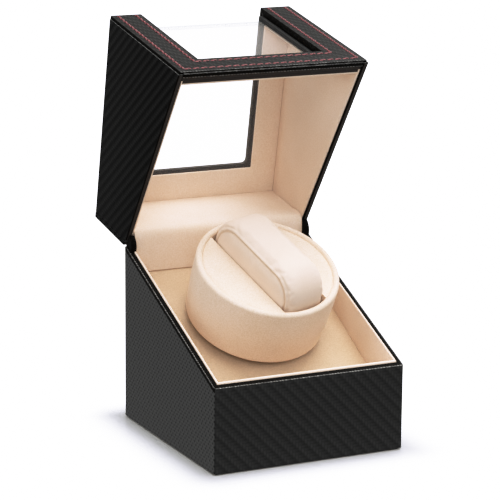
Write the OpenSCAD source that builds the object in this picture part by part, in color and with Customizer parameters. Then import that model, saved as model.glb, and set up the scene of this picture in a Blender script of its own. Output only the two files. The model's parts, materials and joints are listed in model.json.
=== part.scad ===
// Single watch winder box: a leather covered base with a sloped rim, a hinged lid with a
// wrap-round window, and a padded drum on a tilted deck, turned by a small gear motor.
// Millimetres. X runs across the box, the front faces -Y and +Z is up. The origin is the
// centre of the underside. The lid is drawn open, as it rests against its hinge stop.

/* [Box] */
// Width of the box, side to side
box_w = 130; // [120:1:150]
// Depth of the base, front to back
box_d = 137; // [134:1:150]
// Height of the base at its front edge
front_h = 53.5; // [50:0.5:60]
// Height of the base at its back edge
back_h = 113.5; // [110:0.5:120]
// Height of the closed box
closed_h = 163.5; // [160:0.5:175]
// Radius of the upright outer corners
corner_r = 1.5; // [0.8:0.1:2]
// Thickness of the felt pad under the base
felt_t = 1; // [0.6:0.1:2]
// Distance that the felt pad stays inside the outline of the base
felt_inset = 2; // [1:0.5:5]

/* [Walls] */
// Thickness of the leather cover on the base
leather_t = 0.7; // [0.5:0.1:1]
// Thickness of the base's wall boards
board_t = 2.7; // [2.4:0.1:3.5]
// Thickness of the base's floor board
floor_t = 3; // [2:0.5:5]
// Thickness of the velvet covered lining cards at the sides and front
lining_t = 1.3; // [1:0.1:2]
// Thickness of the padded lining at the back of the base
back_lining_t = 2; // [1.2:0.1:3]
// Height that the base's linings stand above its rim
lining_rise = 0.8; // [0.4:0.1:1.2]

/* [Deck] */
// Tilt of the deck that carries the drum
deck_tilt = 29; // [27:0.5:30]
// Height of the deck's top at the front face of the box
deck_front_z = 22.9; // [21:0.1:25]
// Thickness of the deck board
deck_board_t = 3; // [2.5:0.1:4]
// Thickness of the velvet on the deck
velvet_t = 0.8; // [0.5:0.1:1.2]
// Width of the wooden rails under the deck
rail_w = 6; // [4:0.5:8]
// Depth of the wooden rails under the deck
rail_h = 9; // [6:0.5:12]

/* [Lid] */
// Angle that the lid stands open
open_angle = 79; // [60:1:85]
// Gap between the rims of the lid and the base when closed
rim_gap = 0.5; // [0.4:0.1:0.8]
// Thickness of the leather covered side and back panels of the lid
panel_t = 3.4; // [3:0.1:4]
// Depth of the window frames behind the faces of the box
frame_t = 5.6; // [5:0.1:7]
// Height that the stitched faces of the frames stand proud
frame_proud = 1.4; // [0.8:0.1:2]
// Step between the stitched faces and the outline of the box
frame_step = 1; // [0.6:0.1:2]
// Thickness of the frame linings behind the frames
frame_lining_t = 3.2; // [3:0.1:4]
// Thickness of the padded lining at the back of the lid
lid_back_lining_t = 8; // [5:0.1:8.5]

/* [Window] */
// Width of the window opening
window_w = 85; // [70:1:95]
// Height of the leather bar under the front window
front_bar_h = 22.5; // [18:0.5:26]
// Width of the leather bar behind the top window
back_bar_w = 29; // [24:0.5:34]
// Thickness of the window panes
pane_t = 2; // [1.5:0.1:2.5]
// Overlap of the panes behind the frames
pane_lap = 4.5; // [3:0.1:6]
// Width of the rubber gasket
gasket_w = 2.5; // [2:0.1:4]
// Depth of the rubber gasket
gasket_t = 2.6; // [2:0.1:3]
// Radius of the gasket's inner corners
gasket_r = 3; // [2:0.5:4]

/* [Drum] */
// Distance of the drum's axis behind the middle of the box, at the top of the deck
drum_back = 14; // [13:0.5:16.5]
// Radius of the drum at its top
drum_top_r = 46.3; // [45.5:0.1:48]
// Radius of the drum at its bottom
drum_bottom_r = 44.4; // [43.5:0.1:45]
// Gap between the deck and the drum
drum_gap = 5.5; // [4.5:0.1:6]
// Height of the drum
drum_h = 42; // [40:0.1:44]
// Thickness of the drum's padded wall
drum_wall_t = 4.6; // [4:0.1:5.5]
// Thickness of the drum's base disc
drum_base_t = 3.2; // [2.5:0.1:4]
// Height that the drum's wall stands above its side pads
pad_drop = 1; // [0.8:0.1:4]
// Width of the slot for the cushion
slot_w = 33.6; // [31:0.1:36]
// Turn of the slot from the line of the deck's slope, at rest
slot_angle = 15; // [0:0.5:30]
// Thickness of the pad at the bottom of the slot
slot_pad_t = 7; // [4:0.5:9]

/* [Cushion] */
// Gap between the corners of the cushion's ends and the drum's wall
cushion_gap = 0.7; // [0.5:0.1:6]
// Height of the cushion at its crown
cushion_h = 50; // [46:0.5:52]
// Radius of the cushion's corners, seen from its end
cushion_r = 19; // [12:0.5:22]
// Height of the crown over the flat ends
cushion_crown = 2.8; // [2:0.1:6]

/* [Gear train] */
// Module of the gears
gear_module = 0.5; // [0.4:0.05:0.5]
// Teeth of each pinion
pinion_teeth = 12; // [12:1:14]
// Teeth of each large gear
wheel_teeth = 60; // [56:2:60]
// Width of the gears' teeth
face_w = 2; // [1.5:0.1:2.5]
// Gap between the layers of gears
layer_gap = 0.5; // [0.4:0.1:0.8]
// Radius of the output shaft
shaft_r = 3; // [2.5:0.1:3.5]
// Radius of the fixed gear axles
axle_r = 0.75; // [0.7:0.05:1]
// Wall of the gearbox
case_t = 1.6; // [1.2:0.1:2]
// Radius of the motor
motor_r = 10; // [8:0.5:11]
// Length of the motor
motor_l = 20; // [18:0.5:23]

/* [Fittings] */
// Distance of each hinge's middle from the middle of the box
hinge_x = 38; // [30:1:42]
// Length of each hinge
hinge_l = 24; // [18:1:30]
// Radius of the hinge knuckles
knuckle_r = 1.4; // [1.2:0.1:1.5]
// Radius of the hinge pins
hinge_pin_r = 0.7; // [0.5:0.05:0.8]
// Length of the hinge leaves in the boards
leaf_l = 10; // [7:0.5:14]
// Distance of the power inlet and the mode switch from the middle of the box
inlet_x = 30; // [22:1:45]
// Height of the power inlet and the mode switch
inlet_z = 16; // [12:0.5:22]
// Inside radius of the power inlet
inlet_r = 2.85; // [2.6:0.05:3.3]
// Travel of the mode switch to each side
switch_travel = 2; // [1.5:0.1:2.5]

/* [Hidden] */
$fn = 96;
big = 400;
seat_gap = 0.1;
running_gap = 0.05;
soft_gap = 0.4;
cushion_lift = 0.3;
layer = 0.01;

// Colours
black_leather = "#26282a";
frame_leather = "#3a403e";
cream = "#e6cdb2";
board_brown = "#8a6b48";
steel = "#b9bcc0";
black_plastic = "#1c1c1e";
gear_white = "#ece8da";

// Walls of the base, and the inner faces that they leave
wall_t = leather_t + board_t;
half_w = box_w / 2;
inner_x = half_w - wall_t;
inner_y0 = wall_t;
inner_y1 = box_d - wall_t;
rim_angle = atan((back_h - front_h) / box_d);

// Height of the base's rim, and of the deck's top, at a distance y from the front face
function rim_z(y) = front_h + (back_h - front_h) * y / box_d;
function deck_z(y) = deck_front_z + y * tan(deck_tilt);
// Height to add for a layer that is t thick, square to the rim or to the deck
function rim_rise(t) = t / cos(rim_angle);
function deck_drop(t) = t / cos(deck_tilt);

// Hinge axis: on the plane of the base's rim, just inside the back face
hinge_inset = 0.5;
hinge_y = box_d - hinge_inset;
hinge_z = rim_z(hinge_y);
hinge_relief = 1.3;
knuckle_gap = 0.35;
leaf_t = 0.8;
kerf_gap = 0.05;
leaf_y = hinge_y - knuckle_r;

// Inner faces of the lid, and where its linings start
lid_rise = rim_rise(rim_gap);
lining_lift = rim_rise(lining_rise + rim_gap + 0.3);
lid_lining_t = 1.4;
lid_inner_x = inner_x - lid_lining_t;
lid_front_in = frame_t + frame_lining_t;
lid_back_in = box_d - panel_t - lid_back_lining_t;
front_open_z = rim_z(0) + front_bar_h;
top_open_y = box_d - back_bar_w;
half_window = window_w / 2;
lining_lap = 0.5;

// Where the drum's axis meets the deck's top, then the levels of the drum and the gears,
// square to the deck and counted from its top
drum_y = box_d / 2 + drum_back;
drum_top = drum_gap + drum_h;
drum_floor = drum_gap + drum_base_t;
cushion_z = drum_floor + slot_pad_t + cushion_lift;
deck_under = -(velvet_t + deck_board_t);
plate_t = 1.6;
plate_under = deck_under - plate_t;
top_layer = plate_under - 0.6 - face_w;
mid_layer = top_layer - layer_gap - face_w;
low_layer = mid_layer - layer_gap - face_w;
case_floor = low_layer - 1;
case_under = case_floor - case_t;
motor_under = case_under - motor_l;

// The cushion fills its slot: its ends bulge in the middle, and their corners reach nearly to the wall
cushion_w = slot_w - 2 * soft_gap;
cushion_bulge = 1.3;
cushion_room_r = drum_r(cushion_z + cushion_r) - drum_wall_t;
cushion_l = 2 * (sqrt(pow(cushion_room_r, 2) - pow(cushion_w / 2, 2)) - cushion_gap + cushion_bulge);

// Gear train: output gear on the drum's axis, then two idlers and the motor
pressure_angle = 25;
backlash = 0.06;
centre_distance = gear_module * (pinion_teeth + wheel_teeth) / 2;
wheel_r = gear_module * (wheel_teeth / 2 + 1);
second_at = [0, -centre_distance];
first_at = [-centre_distance, -centre_distance];
motor_at = [-centre_distance, 0];
// Turn of a gear that meshes with one turned by rot, which stands in direction dir from it
function mesh_turn(rot, dir, teeth, own) = dir + 180 + (180 - (rot - dir) * teeth) / own;
output_turn = 0;
second_pinion_turn = mesh_turn(output_turn, -90, wheel_teeth, pinion_teeth);
second_wheel_turn = 0;
first_pinion_turn = mesh_turn(second_wheel_turn, 180, wheel_teeth, pinion_teeth);
first_wheel_turn = 0;
motor_turn = mesh_turn(first_wheel_turn, 90, wheel_teeth, pinion_teeth);
collar_r = 2;
bush_wall = 1.5;
bush_flange = 0.8;
pivot_r = 1.2;
pivot_boss_r = 3;
motor_shaft_r = 1;
motor_ring_t = 1.5;
motor_ring_h = 6;
shaft_in_motor = 5;
cap_t = 2;

// Gearbox outline and the screws at its corners
case_gap = 1;
case_x0 = first_at.x - wheel_r - case_gap - case_t;
case_x1 = wheel_r + case_gap + case_t;
case_y0 = second_at.y - wheel_r - case_gap - case_t;
case_y1 = wheel_r + case_gap + case_t;
flange_w = 6;
screw_inset = 3;
screw_r = 1.2;
screw_head_r = 2.2;
screw_head_t = 1.2;
gearbox_screw_at = [for (x = [case_x0 - screw_inset, case_x1 + screw_inset],
    y = [case_y0 + screw_inset, case_y1 - screw_inset]) [x, y]];

// Drum hub and its screws
hub_r = 7;
hub_flange_r = 14;
hub_flange_t = 1.6;
hub_bottom = 1.4;
hub_screw_r = 10.5;
hub_screws_n = 3;
shaft_flat = 0.8;
shaft_top = drum_floor - 0.3;
flat_start = 1.6;

// Electric fittings on the back board
fitting_hole_gap = 0.1;
inlet_body_r = inlet_r + 1.1;
inlet_flange_r = inlet_body_r + 1.8;
inlet_flange_t = 1.2;
inlet_l = 11;
inlet_pin_r = 1.05;
switch_body = [14, 6, 7];
switch_plate = [17, 1, 8.5];
lever_size = [3.6, 8, 3];
lever_gap = 0.2;
lever_out = 2.2;
slot_h = lever_size.z + 2 * lever_gap;
slot_l = lever_size.x + 2 * switch_travel + 2 * lever_gap;
board_size = [44, 1.6, 30];
board_z = 46;
spacer_l = 4;
spacer_r = 2.4;
lead_r = 0.6;
bend_r = 1;
// Parts on the control board: sizes, or radius and length, and places seen from the inside
chip_size = [12, 1.5, 8];
chip_x = -1;
large_capacitor = [2.6, 7];
small_capacitor = [2.1, 5];
capacitor_x = 12;
capacitor_rise = 4;
plug_size = [5, 3, 6];
plug_x = -12.5;
supply_x = 16;
supply_drop = 12;
lead_end = 5;

// ---------------------------------------------------------------- helpers

// The box's own coordinates: x from the middle, y from the front face, z from its underside
module place() translate([0, -box_d / 2, felt_t]) children();

// Turns what is drawn as on the closed lid up to where the open lid rests
module open_lid()
    place() translate([0, hinge_y, hinge_z]) rotate([-open_angle, 0, 0])
        translate([0, -hinge_y, -hinge_z]) children();

// Coordinates of the deck: origin on the drum's axis at the deck's top, z square to it
module on_deck() place() translate([0, drum_y, deck_z(drum_y)]) rotate([deck_tilt, 0, 0]) children();

// Extrudes a shape drawn in (y, z) from x0 to x1
module along_x(x0, x1) translate([x0, 0, 0]) rotate([90, 0, 90]) linear_extrude(x1 - x0) children();

// A block between two corners
module block(low, high) translate(low) cube([for (i = [0:2]) high[i] - low[i]]);

// A rod along y from y0 to y1
module rod_y(x, z, y0, y1, r) translate([x, y1, z]) rotate([90, 0, 0]) cylinder(r = r, h = y1 - y0);

// A rod along x from x0 to x1
module rod_x(y, z, x0, x1, r) translate([x0, y, z]) rotate([0, 90, 0]) cylinder(r = r, h = x1 - x0);

// A straight rod between two points
module rod(a, b, r) {
    d = b - a;
    translate(a) rotate([0, acos(d.z / norm(d)), atan2(d.y, d.x)]) cylinder(r = r, h = norm(d), $fn = 24);
}

// A point given in deck coordinates, in the box's coordinates
function from_deck(p) = [p.x,
    drum_y + p.y * cos(deck_tilt) - p.z * sin(deck_tilt),
    deck_z(drum_y) + p.y * sin(deck_tilt) + p.z * cos(deck_tilt)];

// Side view of the base below a plane that lies t above its rim
module under_rim(y0, y1, t) polygon([[y0, 0], [y1, 0], [y1, rim_z(y1) + rim_rise(t)],
    [y0, rim_z(y0) + rim_rise(t)]]);

// Side view of what lies between the deck and a plane t above the rim
module deck_to_rim(y0, y1, t) polygon([[y0, deck_z(y0)], [y1, deck_z(y1)],
    [y1, rim_z(y1) + rim_rise(t)], [y0, rim_z(y0) + rim_rise(t)]]);

// Outline of the base from above, with rounded corners
module outline(inset) {
    r = corner_r - inset;
    x = half_w - corner_r;
    for (cx = [-x, x], cy = [corner_r, box_d - corner_r]) translate([cx, cy]) circle(r = r);
    translate([-x, inset]) square([2 * x, box_d - 2 * inset]);
    translate([-half_w + inset, corner_r]) square([box_w - 2 * inset, box_d - 2 * corner_r]);
}

// The outer back corners of both rims are cut away, so that the lid can swing past the base
module hinge_corner(up) {
    z = rim_z(box_d) + (up ? lid_rise : 0);
    along_x(-big / 2, big / 2)
        polygon(up ? [[box_d + 1, z - 3], [box_d + 1, z + hinge_relief], [box_d, z + hinge_relief],
                      [box_d - hinge_relief, z - hinge_relief * tan(rim_angle) - layer], [box_d - 3, z - 3]]
                   : [[box_d + 1, z + 3], [box_d + 1, z - hinge_relief], [box_d, z - hinge_relief],
                      [box_d - hinge_relief, z - hinge_relief * tan(rim_angle) + layer], [box_d - 3, z + 3]]);
}

// Room for the hinge knuckles in both back boards
module knuckle_room() for (s = [-1, 1])
    rod_x(hinge_y, hinge_z, s * hinge_x - hinge_l / 2 - knuckle_gap, s * hinge_x + hinge_l / 2 + knuckle_gap,
        knuckle_r + knuckle_gap);

// Saw cuts that hold the hinge leaves, downwards in the base and upwards in the lid
module kerfs(up) for (s = [-1, 1])
    block([s * hinge_x - hinge_l / 2 - kerf_gap, leaf_y - kerf_gap, hinge_z - (up ? 0 : leaf_l + kerf_gap)],
          [s * hinge_x + hinge_l / 2 + kerf_gap, leaf_y + leaf_t + kerf_gap,
           hinge_z + (up ? leaf_l + kerf_gap : 0)]);

// Holes through the back of the base for the power inlet and the mode switch
module back_holes() {
    rod_y(inlet_x, inlet_z, inner_y1 - 1, box_d + 1, inlet_body_r + fitting_hole_gap);
    block([-inlet_x - slot_l / 2 - 1, inner_y1 - 1, inlet_z - slot_h / 2 - 0.6],
          [-inlet_x + slot_l / 2 + 1, box_d + 1, inlet_z + slot_h / 2 + 0.6]);
}

// ---------------------------------------------------------------- base

module base_leather() color(black_leather) place() difference() {
    intersection() {
        linear_extrude(big) outline(0);
        along_x(-half_w, half_w) under_rim(0, box_d, 0);
    }
    intersection() {
        translate([0, 0, -1]) linear_extrude(big) outline(leather_t);
        along_x(-half_w, half_w) polygon([[-1, -2], [box_d + 1, -2],
            [box_d + 1, rim_z(box_d + 1) - rim_rise(leather_t)], [-1, rim_z(-1) - rim_rise(leather_t)]]);
    }
    block([-inner_x, inner_y0, -1], [inner_x, inner_y1, big]);
    hinge_corner(false);
    knuckle_room();
    kerfs(false);
    back_holes();
}

// A wall board, cut under the leather of the rim
module wall_board(x0, x1, y0, y1) place() difference() {
    intersection() {
        linear_extrude(big) outline(leather_t);
        along_x(x0, x1) under_rim(y0, y1, -leather_t);
    }
    children();
}

module base_front_board() color(board_brown) wall_board(-half_w, half_w, leather_t, wall_t);

module base_back_board() color(board_brown)
    wall_board(-half_w, half_w, inner_y1, box_d - leather_t) {
        hinge_corner(false);
        knuckle_room();
        kerfs(false);
        back_holes();
    }

module base_left_board() color(board_brown)
    wall_board(-half_w + leather_t, -inner_x, inner_y0, inner_y1);

module base_right_board() color(board_brown)
    wall_board(inner_x, half_w - leather_t, inner_y0, inner_y1);

module base_floor() color(board_brown) place()
    block([-inner_x, inner_y0, 0], [inner_x, inner_y1, floor_t]);

module base_felt_pad() color("#1d1d1f") translate([0, -box_d / 2, 0])
    block([-half_w + felt_inset, felt_inset, 0], [half_w - felt_inset, box_d - felt_inset, felt_t]);

module lining_front() color(cream) place()
    along_x(-inner_x, inner_x) deck_to_rim(inner_y0, inner_y0 + lining_t, lining_rise);

module lining_back() color(cream) place()
    along_x(-inner_x, inner_x) deck_to_rim(inner_y1 - back_lining_t, inner_y1, lining_rise);

module side_lining(x0, x1) color(cream) place()
    along_x(x0, x1) deck_to_rim(inner_y0 + lining_t, inner_y1 - back_lining_t, lining_rise);

module lining_left() side_lining(-inner_x, -inner_x + lining_t);

module lining_right() side_lining(inner_x - lining_t, inner_x);

// ---------------------------------------------------------------- deck

// A layer of the deck between two depths under its top
module deck_layer(d0, d1) place() along_x(-inner_x, inner_x)
    polygon([[inner_y0, deck_z(inner_y0) - deck_drop(d1)], [inner_y1, deck_z(inner_y1) - deck_drop(d1)],
             [inner_y1, deck_z(inner_y1) - deck_drop(d0)], [inner_y0, deck_z(inner_y0) - deck_drop(d0)]]);

bush_r = shaft_r + bush_wall;

module deck_board() color(board_brown) difference() {
    deck_layer(velvet_t, velvet_t + deck_board_t);
    on_deck() {
        translate([0, 0, -big / 2]) cylinder(r = bush_r + seat_gap, h = big);
        for (p = gearbox_screw_at) translate([p.x, p.y, deck_under - 1])
            cylinder(r = screw_r + running_gap, h = deck_board_t + 1 - 0.4);
    }
}

module deck_velvet() color(cream) difference() {
    deck_layer(0, velvet_t);
    on_deck() translate([0, 0, -big / 2]) cylinder(r = bush_r + seat_gap, h = big);
}

module deck_rails() color(board_brown) place() for (s = [-1, 1])
    along_x(s > 0 ? inner_x - rail_w : -inner_x, s > 0 ? inner_x : -inner_x + rail_w) {
        d0 = deck_drop(velvet_t + deck_board_t);
        d1 = d0 + deck_drop(rail_h);
        y0 = inner_y0 + 15;
        y1 = inner_y1 - 8;
        polygon([[y0, deck_z(y0) - d1], [y1, deck_z(y1) - d1], [y1, deck_z(y1) - d0], [y0, deck_z(y0) - d0]]);
    }

// ---------------------------------------------------------------- gear train

// Half of the angle that a tooth takes up at radius r
function involute(r, base) = let (a = acos(base / r)) tan(a) * 180 / PI - a;
function tooth_half(r, pitch, base) = let (thick = gear_module * PI / 2 - backlash)
    thick / (2 * pitch) * 180 / PI + involute(pitch, base) - involute(max(r, base), base);

// A spur gear with involute teeth, one of them pointing along turn
module gear(teeth, turn, h, bore) {
    pitch = gear_module * teeth / 2;
    base = pitch * cos(pressure_angle);
    root = pitch - 1.25 * gear_module;
    tip = pitch + gear_module;
    start = max(root, base);
    flank = [root, each [for (i = [0:4]) start + (tip - start) * i / 4]];
    linear_extrude(h) difference() {
        rotate(turn) polygon([for (t = [0:teeth - 1]) each [
            for (r = flank) r * [cos(t * 360 / teeth - tooth_half(r, pitch, base)),
                                 sin(t * 360 / teeth - tooth_half(r, pitch, base))],
            for (i = [len(flank) - 1:-1:0]) flank[i] *
                [cos(t * 360 / teeth + tooth_half(flank[i], pitch, base)),
                 sin(t * 360 / teeth + tooth_half(flank[i], pitch, base))]]]);
        if (bore > 0) circle(r = bore, $fn = 48);
    }
}

module collar(z0, z1, r, bore) translate([0, 0, z0]) difference() {
    cylinder(r = r, h = z1 - z0, $fn = 48);
    translate([0, 0, -1]) cylinder(r = bore, h = z1 - z0 + 2, $fn = 48);
}

// A large gear and a pinion on one axle, between the floor and the plate of the gearbox
module idler(at, wheel_z, wheel_turn, pinion_turn) color(gear_white) on_deck() translate([at.x, at.y, 0]) {
    bore = axle_r + running_gap;
    collar(case_floor + seat_gap, wheel_z, collar_r, bore);
    translate([0, 0, wheel_z]) gear(wheel_teeth, wheel_turn, face_w, bore);
    pinion_z = wheel_z + face_w;
    pinion_h = layer_gap + face_w + 0.1;
    translate([0, 0, pinion_z]) gear(pinion_teeth, pinion_turn, pinion_h, bore);
    collar(pinion_z + pinion_h, plate_under - seat_gap, collar_r, bore);
}

module first_gear() idler(first_at, low_layer, first_wheel_turn, first_pinion_turn);

module second_gear() idler(second_at, mid_layer, second_wheel_turn, second_pinion_turn);

module output_gear() color(gear_white) on_deck() translate([0, 0, top_layer])
    gear(wheel_teeth, output_turn, face_w, shaft_r);

module output_shaft() color(steel) on_deck() {
    translate([0, 0, case_floor + seat_gap]) cylinder(r = pivot_r, h = top_layer - case_floor, $fn = 48);
    difference() {
        translate([0, 0, top_layer]) cylinder(r = shaft_r, h = shaft_top - top_layer);
        block([shaft_r - shaft_flat, -shaft_r, flat_start], [big, shaft_r, shaft_top + 1]);
    }
}

module motor_pinion() color(steel) on_deck() translate([motor_at.x, motor_at.y, 0]) {
    translate([0, 0, case_under - shaft_in_motor])
        cylinder(r = motor_shaft_r, h = low_layer + face_w + 0.2 - case_under + shaft_in_motor, $fn = 48);
    translate([0, 0, low_layer]) gear(pinion_teeth, motor_turn, face_w, 0);
}

module gear_axles() color(steel) on_deck() for (p = [first_at, second_at])
    translate([p.x, p.y, case_floor]) cylinder(r = axle_r, h = plate_under - case_floor, $fn = 48);

module screw_holes(points, r) for (p = points) translate([p.x, p.y, -big / 2]) cylinder(r = r, h = big, $fn = 48);

module gearbox_plate() color(black_plastic) on_deck() difference() {
    block([case_x0 - flange_w, case_y0, plate_under], [case_x1 + flange_w, case_y1, deck_under]);
    translate([0, 0, plate_under - 1]) cylinder(r = bush_r + seat_gap, h = plate_t + 2);
    screw_holes(gearbox_screw_at, screw_r + seat_gap);
}

module gearbox_case() color(black_plastic) on_deck() {
    difference() {
        union() {
            block([case_x0, case_y0, case_under], [case_x1, case_y1, plate_under]);
            block([case_x0 - flange_w, case_y0, plate_under - case_t], [case_x1 + flange_w, case_y1, plate_under]);
            translate([motor_at.x, motor_at.y, case_under - motor_ring_h])
                cylinder(r = motor_r + motor_ring_t, h = motor_ring_h);
        }
        block([case_x0 + case_t, case_y0 + case_t, case_floor], [case_x1 - case_t, case_y1 - case_t, big]);
        translate([motor_at.x, motor_at.y, case_under - motor_ring_h - 1]) {
            cylinder(r = motor_r + seat_gap, h = motor_ring_h + 1);
            cylinder(r = motor_shaft_r + 0.3, h = big, $fn = 48);
        }
        screw_holes(gearbox_screw_at, screw_r + seat_gap);
    }
    collar(case_floor, mid_layer - 0.6, pivot_boss_r, pivot_r + running_gap);
}

module gearbox_screws() color(steel) on_deck() for (p = gearbox_screw_at)
    translate([p.x, p.y, plate_under - case_t - screw_head_t]) {
        cylinder(r = screw_head_r, h = screw_head_t, $fn = 48);
        cylinder(r = screw_r, h = screw_head_t + case_t + plate_t + deck_board_t - 1, $fn = 48);
    }

module shaft_bush() color("#c9a24a") on_deck() {
    collar(plate_under, 0, bush_r, shaft_r + running_gap);
    collar(0, bush_flange, bush_r + 2, shaft_r + running_gap);
}

module motor_can() color(steel) on_deck() translate([motor_at.x, motor_at.y, 0]) difference() {
    translate([0, 0, motor_under]) cylinder(r = motor_r, h = motor_l);
    translate([0, 0, case_under - shaft_in_motor - seat_gap])
        cylinder(r = motor_shaft_r + running_gap, h = shaft_in_motor + 1, $fn = 48);
}

module motor_end_cap() color(gear_white) on_deck() translate([motor_at.x, motor_at.y, motor_under - cap_t])
    cylinder(r = motor_r - 1, h = cap_t);

// ---------------------------------------------------------------- electric parts

board_y = inner_y1 - spacer_l - board_size.y;
board_holes = [for (x = [-1, 1], z = [-1, 1])
    [x * (board_size.x / 2 - 4), board_z + z * (board_size.z / 2 - 4)]];

module control_board() color("#1f6b3a") place() difference() {
    block([-board_size.x / 2, board_y, board_z - board_size.z / 2],
          [board_size.x / 2, board_y + board_size.y, board_z + board_size.z / 2]);
    for (p = board_holes) rod_y(p[0], p[1], board_y - 1, inner_y1, screw_r + seat_gap);
}

module board_spacers() color(steel) place() for (p = board_holes) {
    rod_y(p[0], p[1], board_y + board_size.y, inner_y1, spacer_r);
    rod_y(p[0], p[1], board_y, board_y + board_size.y, screw_r);
    rod_y(p[0], p[1], board_y - screw_head_t, board_y, screw_head_r);
}

// A block on the board, centred on a place and standing out towards the front
module on_board(x, size) block([x - size.x / 2, board_y - size.y, board_z - size.z / 2],
    [x + size.x / 2, board_y, board_z + size.z / 2]);

module board_parts() color(black_plastic) place() {
    on_board(chip_x, chip_size);
    on_board(plug_x, plug_size);
    rod_y(capacitor_x, board_z + capacitor_rise, board_y - large_capacitor[1], board_y, large_capacitor[0]);
    rod_y(capacitor_x, board_z - capacitor_rise, board_y - small_capacitor[1], board_y, small_capacitor[0]);
}

// Leads inside the base: from the motor and from the power inlet to the control board
motor_tail = motor_under - cap_t;
plug_y = board_y - plug_size.y;
inlet_y = inner_y1 - inlet_l;
motor_lead = [from_deck([motor_at.x, motor_at.y, motor_tail]),
    from_deck([motor_at.x, motor_at.y, motor_tail - lead_end]),
    [plug_x, plug_y - lead_end, board_z - board_size.z / 2], [plug_x, plug_y - lead_end, board_z],
    [plug_x, plug_y, board_z]];
supply_lead = [[inlet_x, inlet_y, inlet_z], [inlet_x, inlet_y - lead_end, inlet_z],
    [supply_x, board_y - lead_end, board_z - supply_drop], [supply_x, board_y, board_z - supply_drop]];

module lead(points) {
    for (i = [0:len(points) - 2]) rod(points[i], points[i + 1], lead_r);
    for (i = [1:len(points) - 2]) translate(points[i]) sphere(r = bend_r, $fn = 24);
}

module inner_leads() color("#a8232b") place() {
    lead(motor_lead);
    lead(supply_lead);
}

module dc_jack() color(black_plastic) place() {
    difference() {
        union() {
            rod_y(inlet_x, inlet_z, inner_y1 - inlet_l, box_d, inlet_body_r);
            rod_y(inlet_x, inlet_z, box_d, box_d + inlet_flange_t, inlet_flange_r);
        }
        rod_y(inlet_x, inlet_z, inner_y1 - inlet_l + 2, box_d + inlet_flange_t + 1, inlet_r);
    }
    rod_y(inlet_x, inlet_z, inner_y1 - inlet_l + 2, box_d - 1, inlet_pin_r);
}

module dc_jack_nut() color(steel) place() difference() {
    translate([inlet_x, inner_y1, inlet_z]) rotate([90, 0, 0]) cylinder(r = inlet_body_r + 2.6, h = 2, $fn = 6);
    rod_y(inlet_x, inlet_z, inner_y1 - 3, inner_y1 + 1, inlet_body_r + running_gap);
}

module mode_switch() color(black_plastic) place() translate([-inlet_x, 0, inlet_z]) difference() {
    union() {
        block([-switch_body.x / 2, inner_y1 - switch_body.y, -switch_body.z / 2],
              [switch_body.x / 2, inner_y1, switch_body.z / 2]);
        block([-switch_plate.x / 2, box_d, -switch_plate.z / 2],
              [switch_plate.x / 2, box_d + switch_plate.y, switch_plate.z / 2]);
        block([-slot_l / 2 - 0.9, inner_y1, -slot_h / 2 - 0.5], [slot_l / 2 + 0.9, box_d, slot_h / 2 + 0.5]);
    }
    block([-slot_l / 2, inner_y1 - 3, -slot_h / 2], [slot_l / 2, big, slot_h / 2]);
}

module mode_switch_lever() color("#d8d8d6") place() translate([-inlet_x, 0, inlet_z])
    block([-lever_size.x / 2, box_d + switch_plate.y + lever_out - lever_size.y, -lever_size.z / 2],
          [lever_size.x / 2, box_d + switch_plate.y + lever_out, lever_size.z / 2]);

// ---------------------------------------------------------------- drum

// Outer radius of the drum at a height above the deck
function drum_r(z) = drum_bottom_r + (drum_top_r - drum_bottom_r) * (z - drum_gap) / drum_h;

// The room inside the drum's wall, between two heights
module drum_room(z0, z1, gap) translate([0, 0, z0])
    cylinder(r1 = drum_r(z0) - drum_wall_t - gap, r2 = drum_r(z1) - drum_wall_t - gap, h = z1 - z0);

// Coordinates of the slot: y along it, x across it
module in_slot() on_deck() rotate(slot_angle) children();

module drum_hub() color(black_plastic) on_deck() difference() {
    union() {
        translate([0, 0, hub_bottom]) cylinder(r = hub_r, h = drum_gap - hub_bottom);
        translate([0, 0, drum_gap - hub_flange_t]) cylinder(r = hub_flange_r, h = hub_flange_t);
    }
    difference() {
        translate([0, 0, hub_bottom - 1]) cylinder(r = shaft_r + running_gap, h = drum_gap);
        block([shaft_r - shaft_flat + running_gap, -shaft_r - 1, flat_start + 0.1], [big, shaft_r + 1, drum_gap + 1]);
    }
    for (i = [0:hub_screws_n - 1]) rotate(i * 360 / hub_screws_n + 60) translate([hub_screw_r, 0, 0])
        cylinder(r = screw_r + seat_gap, h = big, $fn = 48);
}

module hub_screws() color(steel) on_deck() for (i = [0:hub_screws_n - 1])
    rotate(i * 360 / hub_screws_n + 60) translate([hub_screw_r, 0, drum_gap - hub_flange_t - screw_head_t]) {
        cylinder(r = screw_head_r, h = screw_head_t, $fn = 48);
        cylinder(r = screw_r, h = screw_head_t + hub_flange_t + drum_base_t - 0.6, $fn = 48);
    }

module drum_base() color(black_plastic) on_deck() difference() {
    drum_room(drum_gap, drum_floor, seat_gap);
    translate([0, 0, drum_gap - 1]) cylinder(r = shaft_r + seat_gap, h = drum_base_t + 2);
    for (i = [0:hub_screws_n - 1]) rotate(i * 360 / hub_screws_n + 60) translate([hub_screw_r, 0, drum_gap - 1])
        cylinder(r = screw_r + running_gap, h = drum_base_t + 0.6, $fn = 48);
}

// The padded wall: a leaning ring with a rounded top
module drum_wall() color(cream) on_deck() rotate_extrude($fn = 144) {
    r = drum_wall_t / 2;
    z = drum_top - r;
    polygon([[drum_bottom_r - drum_wall_t, drum_gap], [drum_bottom_r, drum_gap],
             [drum_r(z), z], [drum_r(z) - drum_wall_t, z]]);
    translate([drum_r(z) - r, z]) circle(r = r);
}

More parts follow.
